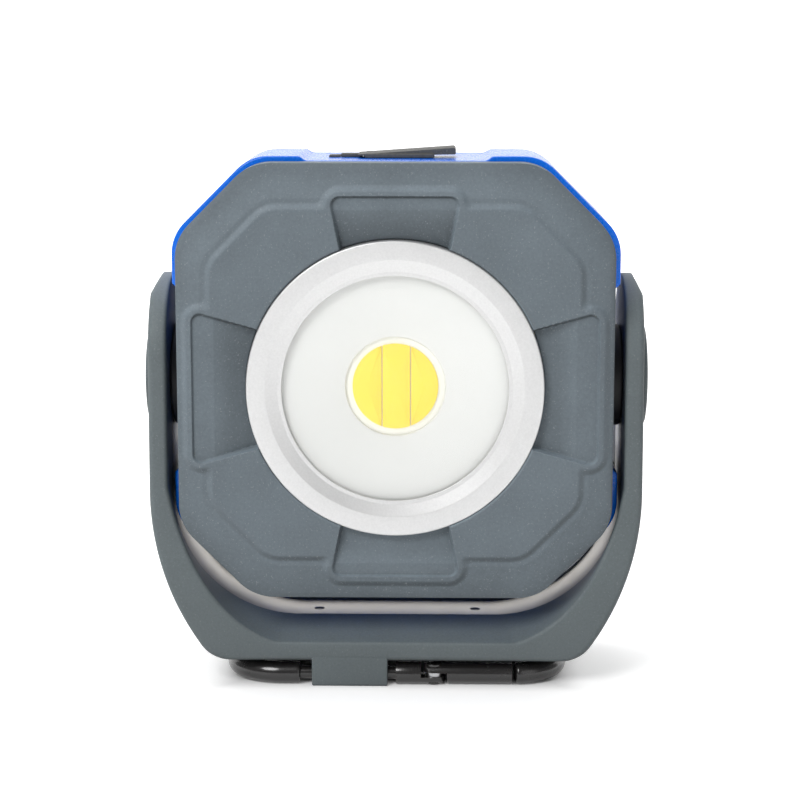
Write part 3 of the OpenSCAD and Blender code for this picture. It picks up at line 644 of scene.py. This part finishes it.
def shell():
    out = head_star(housing_outline)
    cavity = head_star(head_octagon(46.0, 46.7, 79.2, 8))
    rings = [head_ring(cavity, SPLIT_Y), head_ring(out - 0.5, SPLIT_Y)]
    rings += [head_ring(out - 0.25, SPLIT_Y + 0.06), head_ring(out - 0.07, SPLIT_Y + 0.22)]
    rings += [head_ring(out, y) for y in np.linspace(SPLIT_Y + 0.5, COVER_Y - 0.3, 24)]
    rings += [head_ring(out - 0.1, COVER_Y - 0.1), head_ring(out - 0.3, COVER_Y), head_ring(cavity, COVER_Y)]
    me = build("shell", loft(rings, closed=True))
    plug_low, plug_high = mm_box("port_flap")
    port_y = (plug_low[1] + plug_high[1]) / 2
    port = rectangle(-7.8, port_y - 3.6, 8.05, port_y + 3.6, 0.8)
    hole = build("hole", turn(prism(port, RECESS_TOP - 5, RECESS_TOP + 3, 0.01), [0, 2, 1]))
    me = carve(me, hole)
    me = carve(me, build("hubs", *both_sides([(0, 40), (7.05, 40), (7.05, 60), (0, 60)], 64)))
    place(me, "housing_visual", blue_mat, ["housing_shell"], 40)


def control_holes():
    """The cutters for the button and the indicators, through the cover and the control plate."""
    low, high = 19, 25
    holes = [rod(8.05, low, high, (0, 0, BUTTON_Z), (0, 1, 0), 96)]
    holes += [rod(LAMP_R + GAP, low, high, (x, 0, BUTTON_Z), (0, 1, 0), 32) for x in LAMPS_X]
    return build("holes", *holes)


def cover():
    out = head_star(housing_outline)
    depth = REAR_Y - COVER_Y
    rings = [head_ring(out - inward, COVER_Y + back) for inward, back in ((0.3, 0), (0.1, 0.1), (0, 0.3))]
    for k in range(1, 25):
        a = math.pi / 2 * k / 24
        r = head_star(lambda x, z: housing_outline(x, z, depth * (1 - math.cos(a))))
        rings.append(head_ring(r, max(COVER_Y + depth * math.sin(a), COVER_Y + 0.31 + k * 0.01)))
    last = head_star(lambda x, z: housing_outline(x, z, depth))
    rings += [head_ring(last * t, REAR_Y) for t in (0.8, 0.6, 0.4, 0.2, 0)]
    inside = head_star(head_octagon(42.6, 42.2, 74, 9))
    rings += [head_ring(inside * t, COVER_FLOOR_Y) for t in (0, 0.5, 1)] + [head_ring(inside, COVER_Y)]
    me = build("cover", loft(rings, closed=True))
    low, high = COVER_Y + 0.02, REAR_Y - 2.2
    columns = [rod(COLUMN_R, low, high, (x, 0, z), (0, 1, 0)) for x, z in COLUMNS]
    me = carve(me, build("columns", *columns), "UNION")
    bore = [(0, 10), (SCREW_HOLE_R, 10), (SCREW_HOLE_R, SCREW_SEAT_Y), (SCREW_HEAD_HOLE_R, SCREW_SEAT_Y),
            (SCREW_HEAD_HOLE_R, 30), (0, 30)]
    me = carve(me, build("bores", *[lathe(bore, (x, 0, z), (0, 1, 0), 48) for x, z in COLUMNS]))
    bed = rectangle(PLATE_LOW[0] - GAP, PLATE_LOW[2] - GAP, PLATE_HIGH[0] + GAP, PLATE_HIGH[2] + GAP, 2.0)
    me = carve(me, build("plate_bed", prism(bed, PLATE_LOW[1], REAR_Y + 2, 0.01)))
    place(carve(me, control_holes()), "cover_visual", blue_mat, ["rear_cover"], 40)


def control_plate():
    outline = rectangle(PLATE_LOW[0], PLATE_LOW[2], PLATE_HIGH[0], PLATE_HIGH[2], 2.0)
    me = build("plate", prism(outline, PLATE_LOW[1], PLATE_HIGH[1], 0.2))
    place(carve(me, control_holes()), "control_plate_visual", bumper_mat, ["control_plate"])


def button():
    """The power button: a cap with a thumb dish, a flange under the cover, and a stem."""
    flange_y, stem_y = 20.45, 19.3
    profile = [(0, 22.55), (3.5, 22.6), (6.2, 22.95), (7.3, REAR_Y), (8, REAR_Y), (8, flange_y),
               (9.3, flange_y), (9.3, stem_y), (2.5, stem_y), (2.5, BUTTON_LOW[1]), (0, BUTTON_LOW[1])]
    radii = [0, 4, 1.5, 0.3, 0.4, 0, 0.2, 0.2, 0, 0.2, 0]
    me = build("button", turned_solid(profile, radii, (0, 0, BUTTON_Z), (0, 1, 0)))
    place(me, "button_visual", black_mat, ["power_button"])


def indicators():
    low, high = mm_box("indicator_lenses")
    profile = [(0, high[1]), (LAMP_R, high[1]), (LAMP_R, low[1]), (0, low[1])]
    lamps = [turned_solid(profile, [0, 0.35, 0.1, 0], (x, 0, BUTTON_Z), (0, 1, 0), 40) for x in LAMPS_X]
    place(build("indicators", *lamps), "indicators_visual", dish_mat, ["indicator_lenses"])


shell()
cover()
control_plate()
button()
indicators()


# ---- Lamp ----

# Radii of the lamp's pieces, and distances in front of the tilt axis.
FACE = -FRONT_Y
LIP_F, LENS_F, RIM_F, SEAT_F, BOARD_F, SINK_F = 21.8, 20.6, 20.5, 19.6, 17.4, 15.9
STACK_R, GASKET_R, DISH_R, WINDOW_R, APERTURE_R, BOARD_R = 30.4, 27.2, 27, 25.1, 11.15, 14


def ring_part(name, profile, radii, node, material):
    """A closed ring about the lamp's axis."""
    shape = lathe(fillet(profile, radii), (0, 0, PIVOT_Z), (0, -1, 0), 320, closed=True)
    return place(build(name, shape), name + "_visual", material, [node])


def disc_part(name, r, back_f, front_f, radii, seg, material):
    """A solid disc about the lamp's axis, for the node of the same name."""
    profile = [(0, back_f), (r, back_f), (r, front_f), (0, front_f)]
    shape = turned_solid(profile, radii, (0, 0, PIVOT_Z), (0, -1, 0), seg)
    return place(build(name, shape), name + "_visual", material, [name])


def lamp():
    lip_r, bevel_r, skirt_f = 25.3, 28.9, FACE - 8
    ring_part("bezel", [(lip_r, FACE - 1.2), (lip_r, FACE - 0.95), (26.2, FACE - 0.95), (bevel_r, FACE),
                        (RING_R, FACE), (RING_R, skirt_f), (30.6, skirt_f), (30.6, FACE - 1.2)],
              [0.05, 0.12, 0.4, 0.9, 0.45, 0.2, 0.1, 0.1], "bezel_ring", ring_mat)
    ring_part("dish", [(APERTURE_R, 17.45), (APERTURE_R, 18.2), (WINDOW_R, RIM_F), (DISH_R, RIM_F),
                       (DISH_R, 19.65), (STACK_R, SEAT_F), (STACK_R, SINK_F), (DISH_R, SINK_F),
                       (DISH_R, 17.45)],
              [0.1, 0.5, 0.4, 0.1, 0.1, 0.1, 0.1, 0.1, 0.1], "reflector", dish_mat)
    ring_part("gasket", [(GASKET_R, SEAT_F), (STACK_R, SEAT_F), (STACK_R, LENS_F), (GASKET_R, LENS_F)], 0.15,
              "lens_gasket", seal_mat)
    disc_part("lens", STACK_R, LENS_F, LIP_F, [0, 0.15, 0.15, 0], 200, lens_mat)
    disc_part("led_board", BOARD_R, SINK_F, BOARD_F, [0, 0.1, 0.15, 0], 120, board_mat)


def phosphor():
    """The glowing surface, in three segments with narrow seams between them."""
    r = mm_box("led_phosphor")[1][0]
    spacing = 0.02
    shapes = []
    for x0, x1 in ((-r, -3.12), (-2.88, 3.28), (3.52, r)):
        xs = np.linspace(max(x0, -r + 0.001), min(x1, r - 0.001), 60)
        half = np.sqrt(np.maximum(r * r - xs * xs, 0))
        outline = np.vstack([np.c_[xs, half], np.c_[xs[::-1], -half[::-1]]])
        outline = outline[np.r_[True, np.linalg.norm(np.diff(outline, axis=0), axis=1) > spacing]]
        outline[:, 1] += PIVOT_Z
        shapes.append(prism(outline, -BOARD_F - 0.5, -BOARD_F, 0.1, 2))
    place(build("phosphor", *shapes), "phosphor_visual", phosphor_mat, ["led_phosphor"])


lamp()
phosphor()


# ---- Stand ----

SIDE_R, HEEL_R, UNDER_Z, BEND_Z, CREST_R = 62.0, 8.0, 5.9, 45.0, 28.8
STRAP_T, STRAP_Z, STRAP_BEND_R = 1.2, 13.0, 30.0
BEND_TOP_Z = STRAP_Z + STRAP_BEND_R
ARM_IN = mm_box("stand_strap")[1][0] - STRAP_T
STRAP_HW = mm_box("stand_strap")[1][1]
LIP_CURVE = np.array([(27.5, 10.3), (45, 16.5), (ARM_IN, 46)])
BASE_HD, BASE_TOP_Z = 20.0, 20.0
ARM_ROUND = 18.0
ARM_ARC_Z = ARM_TOP - ARM_ROUND
CHAMFER_X, CHAMFER_Z = 1.8, 3.8
SPIGOT_HOLE_R = 5.55
SEAT_R, SEAT_X = 9.5, 53.5
PINS_X, PIN_HOLE_R, PIN_Z = (-18.4, 18.4), 1.15, 8.5
MAGNETS_X, MAGNET_Y, MAGNET_R, MAGNET_TOP_Z = (-14, 14), 1.5, 6, 7.9
BOSS_X0, BOSS_X1, BOSS_Y0, BOSS_Y1 = -19.1, -1.8, -20.0, -13.5
ROD_Y, ROD_Z = -17.1, 2.5


def arc(c, r, a0, a1, n):
    t = np.radians(np.linspace(a0, a1, n + 1))
    return np.c_[c[0] + r * np.cos(t), c[1] + r * np.sin(t)]


def along_rays(points, phi):
    """Distances from (0, BEND_Z) to a contour of the U's right half, at angles from straight down."""
    dx, dz = points[:, 0], BEND_Z - points[:, 1]
    return np.interp(phi, np.arctan2(dx, dz), np.hypot(dx, dz))


def flat(x, z):
    """Points along a level line from the middle to x, close enough together to be read along rays."""
    return np.c_[np.linspace(0, x, 80)[:-1], np.full(79, z)]


def stand_contours():
    """The U's right half: its outside, the crest that its inside rises to, and its lip."""
    side_c = (STAND_HW - SIDE_R, BEND_Z)
    reach, drop = SIDE_R - HEEL_R, BEND_Z - UNDER_Z - HEEL_R
    heel_c = (side_c[0] + math.sqrt(reach * reach - drop * drop), UNDER_Z + HEEL_R)
    heel_a = -math.degrees(math.asin(drop / reach))
    outer = [flat(heel_c[0], UNDER_Z), arc(heel_c, HEEL_R, -90, heel_a, 40)]
    outer.append(arc(side_c, SIDE_R, heel_a, 0, 80))
    crest_c = (ARM_IN - CREST_R, BEND_TOP_Z)
    crest = [flat(crest_c[0], BEND_TOP_Z - CREST_R), arc(crest_c, CREST_R, -90, 0, 90), [[ARM_IN, BEND_Z]]]
    t = np.linspace(0, 1, 80)[:, None]
    lip = (1 - t) ** 2 * LIP_CURVE[0] + 2 * t * (1 - t) * LIP_CURVE[1] + t * t * LIP_CURVE[2]
    return np.vstack(outer), np.vstack(crest), np.vstack([flat(*LIP_CURVE[0]), lip])


def arm_half_depth(z):
    """Half the stand's depth at a height: the base, the tapering arm and its round top."""
    if z <= BASE_TOP_Z:
        return BASE_HD
    if z <= ARM_ARC_Z:
        return BASE_HD + (ARM_ROUND - BASE_HD) * (z - BASE_TOP_Z) / (ARM_ARC_Z - BASE_TOP_Z)
    return math.sqrt(max(ARM_ROUND**2 - (z - ARM_ARC_Z) ** 2, 0.0))


def stand_section(hd, lip, crest):
    """The stand's cross-section as (distance in from the outside, depth)."""
    hw = min(STRAP_HW, hd * 0.4)
    pts = [(0, -hd), (lip, -hd), (crest, -hw), (crest, hw), (lip, hd), (0, hd)]
    return fillet(pts, [1.3, 0.9, 0, 0, 0.9, 1.3], 5)


def strap_rings(hw, inner, outer, r):
    """Sections of a band along the inside of the U, from one distance out of its surface to another."""
    bend_x = ARM_IN - STRAP_BEND_R
    half = [((x, STRAP_Z), (0, -1)) for x in np.linspace(0, bend_x, 12)[:-1]]
    for a in np.radians(np.linspace(-90, 0, 48)):
        out = (math.cos(a), math.sin(a))
        half.append(((bend_x + STRAP_BEND_R * out[0], BEND_TOP_Z + STRAP_BEND_R * out[1]), out))
    half += [((ARM_IN, z), (1, 0)) for z in np.linspace(BEND_TOP_Z, PIVOT_Z, 16)[1:]]
    half += [((ARM_IN, PIVOT_Z + hw * math.sin(a)), (1, 0)) for a in np.radians(np.linspace(0, 88, 20)[1:])]
    rings = []
    for side, stations in ((-1, half[:0:-1]), (1, half)):
        for p, out in stations:
            w = math.sqrt(hw**2 - max(p[1] - PIVOT_Z, 0) ** 2)
            section = [(inner, -w), (outer, -w), (outer, w), (inner, w)]
            section = fillet(section, r, 4) if r else np.array(section)
            reach = section[:, 0]
            rings.append(np.c_[side * (p[0] + reach * out[0]), section[:, 1], p[1] + reach * out[1]])
    return rings


def stand_stations():
    """Along the right half: where the outside is, the way inward, and the section there."""
    outer, crest, lip = stand_contours()
    half = []
    for phi in np.radians(np.concatenate([np.linspace(0, 50, 50)[:-1], np.linspace(50, 90, 46)])):
        ro, rc, rl = (along_rays(c, phi) for c in (outer, crest, lip))
        direction = np.array([math.sin(phi), -math.cos(phi)])
        depth = arm_half_depth(BEND_Z + direction[1] * ro)
        section = stand_section(depth, ro - rl, ro - rc)
        half.append((np.array([0, BEND_Z]) + direction * ro, -direction, section))
    round_top = ARM_ARC_Z + ARM_ROUND * np.sin(np.radians(np.linspace(0, 89, 48)[1:]))
    for z in [*np.linspace(BEND_Z, ARM_ARC_Z, 26)[1:], *round_top]:
        x_out = STAND_HW - max(0.0, z - (ARM_TOP - CHAMFER_Z)) / CHAMFER_Z * CHAMFER_X
        t = x_out - ARM_IN
        half.append((np.array([x_out, z]), np.array([-1.0, 0]), stand_section(arm_half_depth(z), t, t)))
    return half


def stand():
    half = stand_stations()
    rings = []
    for side, stations in ((-1, half[:0:-1]), (1, half)):
        for o, inward, section in stations:
            p = o + section[:, :1] * inward
            rings.append(np.c_[side * p[:, 0], section[:, 1], p[:, 1]])
    bed = build("bed", loft(strap_rings(STRAP_HW + GAP, -3.0, STRAP_T + GAP, 0)))
    me = carve(build("stand", loft(rings)), bed)
    top = UNDER_Z + 1
    outline = fillet([(BOSS_Y0, 0), (BOSS_Y1, 0), (BOSS_Y1, top), (BOSS_Y0, top)], [0.6, 1.2, 0, 0], 6)
    me = carve(me, build("boss", turn(prism(outline, BOSS_X0, BOSS_X1, 0.35), [1, 0, 2])), "UNION")
    cuts = both_sides([(0, 50), (SPIGOT_HOLE_R, 50), (SPIGOT_HOLE_R, SEAT_X), (SEAT_R, SEAT_X), (SEAT_R, 60),
                       (0, 60)], 96)
    cuts.append(rod(1.55, -30, 0, (0, ROD_Y, ROD_Z), (1, 0, 0), 40))
    cuts += [rod(MAGNET_R + GAP, -1, MAGNET_TOP_Z, (x, MAGNET_Y, 0), (0, 0, 1), 72) for x in MAGNETS_X]
    cuts += [rod(PIN_HOLE_R, PIN_Z, 14, (x, 0, 0), (0, 0, 1), 40) for x in PINS_X]
    place(carve(me, build("cuts", *cuts)), "stand_visual", stand_mat, ["stand_shell"], 32)


def strap():
    me = build("strap", loft(strap_rings(STRAP_HW, 0, STRAP_T, 0.28)))
    cuts = both_sides([(0, 50), (SPIGOT_HOLE_R, 50), (SPIGOT_HOLE_R, 54), (0, 54)], 72)
    hole = [(0, 10), (PIN_HOLE_R, 10), (PIN_HOLE_R, STRAP_Z - 0.15), (PIN_HOLE_R + 0.15, STRAP_Z),
            (PIN_HOLE_R + 0.15, 15), (0, 15)]
    cuts += [lathe(hole, (x, 0, 0), (0, 0, 1), 48) for x in PINS_X]
    place(carve(me, build("cuts", *cuts)), "strap_visual", strap_mat, ["stand_strap"], 40)


def upright_pieces(name, profile, radii, places, seg, material, node):
    """Equal turned pieces that stand upright, in one mesh."""
    pieces = [turned_solid(profile, radii, (x, y, 0), (0, 0, 1), seg) for x, y in places]
    place(build(name, *pieces), name + "_visual", material, [node])


def cap(side, word):
    """The round cap on the outside of an arm, with a shallow sunk face."""
    low, high = mm_box("pivot_cap_" + word)
    outer_x = max(abs(low[0]), abs(high[0]))
    face_x, plug_x, plug_r, cap_r = STAND_HW + GAP, STAND_HW - 1.3, SEAT_R - GAP, 11.6
    profile = [(0, face_x), (8.75, face_x), (8.75, plug_x), (plug_r, plug_x), (plug_r, STAND_HW + GAP / 2),
               (cap_r, STAND_HW + GAP / 2), (cap_r, outer_x), (8.2, outer_x), (7.9, outer_x - 0.25),
               (0, outer_x - 0.1)]
    radii = [0, 0.1, 0.1, 0.2, 0.1, 0.1, 0.85, 0.2, 0.2, 0]
    me = build("cap", turned_solid(profile, radii, (0, 0, PIVOT_Z), (side, 0, 0), 160))
    place(me, "cap_visual_" + word, stand_mat, ["pivot_cap_" + word])


def hub(side, word):
    """The hub between the head and an arm: a key in the head, a disc, and a spigot through the arm."""
    low, high = mm_box("hub_" + word)
    key_x, spigot_x = min(abs(low[0]), abs(high[0])), max(abs(low[0]), abs(high[0]))
    wall_x, arm_x = HEAD_HW - SIDE_RECESS_D, ARM_IN - 0.1
    bore_r, key_r, disc_r, spigot_r = 2.05, 7, 11.7, 5.5
    profile = [(bore_r, key_x), (key_r, key_x), (key_r, wall_x), (disc_r, wall_x), (disc_r, arm_x),
               (spigot_r, arm_x), (spigot_r, spigot_x), (bore_r, spigot_x)]
    profile = fillet(profile, [0.1, 0.2, 0.1, 0.5, 0.5, 0.1, 0.2, 0.1])
    shape = lathe(profile, (0, 0, PIVOT_Z), (side, 0, 0), 128, True)
    place(build("hub", shape), "hub_visual_" + word, black_mat, ["hub_" + word])


stand()
strap()
upright_pieces("strap_pins", [(0, 12.8), (1.12, 12.8), (1.12, PIN_Z), (0, PIN_Z)], [0, 0.3, 0.1, 0],
               [(x, 0) for x in PINS_X], 40, black_mat, "strap_pins")
upright_pieces("magnets", [(0, 0), (MAGNET_R, 0), (MAGNET_R, MAGNET_TOP_Z), (0, MAGNET_TOP_Z)],
               [0, 0.5, 0.2, 0], [(x, MAGNET_Y) for x in MAGNETS_X], 96, magnet_mat, "base_magnets")
for side, word in ((-1, "left"), (1, "right")):
    cap(side, word)
    hub(side, word)


# ---- Port flap ----

HINGE_X, LEVER_X = -12.4, -8.8


def on_recess(outline):
    """An outline whose heights are above the top recess."""
    return outline + [0, RECESS_TOP]


def port_flap():
    """The rubber flap: a rising lever over a collar, a narrow tail, and a plug for the port."""
    low, high = mm_box("port_flap")
    y0, y1 = low[1], high[1]
    end_x, top = high[0], high[2] - RECESS_TOP
    lever = fillet([(LEVER_X, 0.55), (end_x, 0.85), (end_x, top), (LEVER_X, 0.85)], [0.12, 0.3, 0.6, 0.12], 6)
    collar = prism(on_recess(rectangle(-7.2, GAP, 8.5, 1.05, 0.3)), y0, y1, 0.25, 4)
    middle = (y0 + y1) / 2
    tail = on_recess(rectangle(HINGE_X - 0.4, 0.06, LEVER_X + 1, 0.84, 0.3))
    tail = prism(tail, middle - 1.95, middle + 1.95, 0.15)
    plug = rectangle(-7.7, middle - 3.5, 7.7, middle + 3.5, 0.7)
    plug = turn(prism(plug, low[2], RECESS_TOP + 0.2, 0.3), [0, 2, 1])
    me = build("lever", prism(on_recess(lever), y0 + 0.5, y1 - 0.5, 0.1, 4))
    for piece in (plug, collar, tail):
        me = carve(me, build("piece", piece), "UNION")
    place(me, "flap_visual", flap_mat, ["port_flap"], 40)


def flap_anchor():
    low, high = mm_box("flap_anchor")
    outline = rectangle(low[0], RECESS_TOP + 0.01, high[0], high[2], 0.2)
    stem = rod(1, low[2], RECESS_TOP + 0.3, (HINGE_X - 2, 0.6, 0), (0, 0, 1), 32)
    me = carve(build("anchor", prism(outline, low[1], high[1], 0.12)), build("stem", stem), "UNION")
    place(me, "anchor_visual", flap_mat, ["flap_anchor"])


port_flap()
flap_anchor()


# ---- Carabiner ----

ROD_R, RING_CORNER, ROD_END_X = 2.5, 10.75, -21.8


def straight(p, q, n):
    """Points along a line from p to q, without q."""
    return np.linspace(p, q, n)[:-1]


def carabiner():
    low, high = mm_box("carabiner_frame")
    hw, y0, y1 = high[0] - ROD_R, low[1] + ROD_R, high[1] - ROD_R
    cx, cy0, cy1 = hw - RING_CORNER, y0 + RING_CORNER, y1 - RING_CORNER
    path = np.vstack([
        straight((ROD_END_X, y0), (-cx, y0), 6),
        arc((-cx, cy0), RING_CORNER, -90, -180, 28),
        straight((-hw, cy0), (-hw, cy1), 8)[1:],
        arc((-cx, cy1), RING_CORNER, 180, 90, 28),
        straight((-cx, y1), (cx, y1), 14)[1:],
        arc((cx, cy1), RING_CORNER, 90, 0, 28),
        straight((hw, cy1), (hw, cy0), 8)[1:],
        arc((cx, cy0), RING_CORNER, 0, -84, 27),
    ])
    ring = build("ring", tube(path, ROD_R, ROD_R, 0.7, 48))
    place(ring, "ring_visual", black_metal_mat, ["carabiner_frame"], 45)
    pin_low, pin_high = mm_box("carabiner_pin")
    pin = np.linspace((pin_low[0], y0), (pin_high[0], y0), 12)
    place(build("pin", tube(pin, 1.5, ROD_R, 0.3, 32)), "pin_visual", black_metal_mat, ["carabiner_pin"])


carabiner()
ROUNDED = {"carabiner_knuckle": 0.25, "carabiner_gate": 0.25, "gate_rivet": 0.12, "housing_screws": 0.15,
           "usb_socket": 0.08}
for node, width in ROUNDED.items():
    place(rounded_copy(node, width), node + "_visual", BY_SLOT[SLOT[node]], [node])


# ---- Stage, light and camera ----

FLOOR_HW = 20.0
BACKDROP_Y, BACKDROP_R, BACKDROP_HW, BACKDROP_TOP = 0.9, 0.5, 3.0, 3.0


def floor_finish():
    """A pale floor. It glows more the further it is from the light, and not at all under the stand's base."""
    g = Graph("floor")
    tone = g.math("MULTIPLY_ADD", g.noise(3, 4, 0.6), 0.008, 0.996)
    across = g.node("ShaderNodeSeparateXYZ", {"Vector": g.coord}).outputs
    from_x = g.math("SUBTRACT", g.math("ABSOLUTE", across[0]), 0.034)
    from_y = g.math("SUBTRACT", g.math("ABSOLUTE", across[1]), 0.014)
    away = g.math("MAXIMUM", from_x, from_y)
    near = g.math("MULTIPLY", g.ramp(away, 0.0, 0.01), 0.4)
    inputs = {
        "Base Color": g.scaled((0.93, 0.93, 0.93), tone),
        "Roughness": 0.7,
        "Normal": g.bump(g.noise(200, 2), 0.01),
        "Emission Color": (1, 1, 1, 1),
        "Emission Strength": g.math("MULTIPLY_ADD", g.ramp(away, 0.15, 0.8), 0.35, near),
    }
    bsdf = g.node("ShaderNodeBsdfPrincipled", inputs)
    g.node("ShaderNodeOutputMaterial", {"Surface": bsdf.outputs[0]})
    return g.material


def stage_set():
    """A wide floor, with a curved backdrop that rises behind the object."""
    profile = [(BACKDROP_Y + BACKDROP_R * math.sin(a), BACKDROP_R * (1 - math.cos(a)))
               for a in np.radians(np.linspace(0, 90, 19))]
    profile.append((BACKDROP_Y + BACKDROP_R, BACKDROP_TOP))
    verts = [(x, y, 0.0) for y in (-FLOOR_HW, FLOOR_HW) for x in (-FLOOR_HW, FLOOR_HW)]
    verts += [(x, y, z) for y, z in profile for x in (-BACKDROP_HW, BACKDROP_HW)]
    faces = [(0, 1, 3, 2)] + [(i, i + 1, i + 3, i + 2) for i in range(4, len(verts) - 2, 2)]
    me = bpy.data.meshes.new("floor")
    me.from_pydata(verts, [], faces)
    me.shade_smooth()
    floor = bpy.data.objects.new("floor", me)
    bpy.context.scene.collection.objects.link(floor)
    me.materials.append(floor_finish())


def area_light(name, location, size, power):
    """A soft round light, aimed at the object's middle."""
    data = bpy.data.lights.new(name, "AREA")
    data.shape, data.size, data.energy = "DISK", size, power
    ob = bpy.data.objects.new(name, data)
    ob.location = location
    ob.rotation_euler = (Vector((0, 0, 0.06)) - ob.location).to_track_quat("-Z", "Y").to_euler()
    bpy.context.scene.collection.objects.link(ob)


def studio():
    world = bpy.data.worlds.new("studio")
    bpy.context.scene.world = world
    world.use_nodes = True
    background = world.node_tree.nodes["Background"].inputs
    background["Color"].default_value = (1, 1, 1, 1)
    background["Strength"].default_value = 0.22
    area_light("key", (-0.5, -0.8, 0.8), 0.6, 8.5)
    area_light("top", (-0.1, 0.15, 1.1), 0.6, 4)
    area_light("fill", (0.8, -1.0, 0.4), 0.9, 1.5)


def camera_set():
    """A long lens in front of the lamp, a little above it and towards +X."""
    elevation, azimuth, distance = math.radians(9.6), math.radians(1.3), 0.48
    ring_middle = Vector((0, FRONT_Y * MM, PIVOT_Z * MM))
    aim = ring_middle + Vector((0.00102, 0, -0.00223))
    away = Vector((math.cos(elevation) * math.sin(azimuth), -math.cos(elevation) * math.cos(azimuth),
                   math.sin(elevation)))
    camera = bpy.data.objects.new("camera", bpy.data.cameras.new("camera"))
    camera.data.sensor_fit, camera.data.sensor_width, camera.data.lens = "HORIZONTAL", 36, 97.5
    camera.data.clip_start = 0.01
    camera.location = ring_middle + distance * away
    camera.rotation_euler = (aim - camera.location).to_track_quat("-Z", "Y").to_euler()
    bpy.context.scene.collection.objects.link(camera)
    bpy.context.scene.camera = camera


stage_set()
studio()
camera_set()
bpy.context.scene.view_settings.view_transform = "Standard"
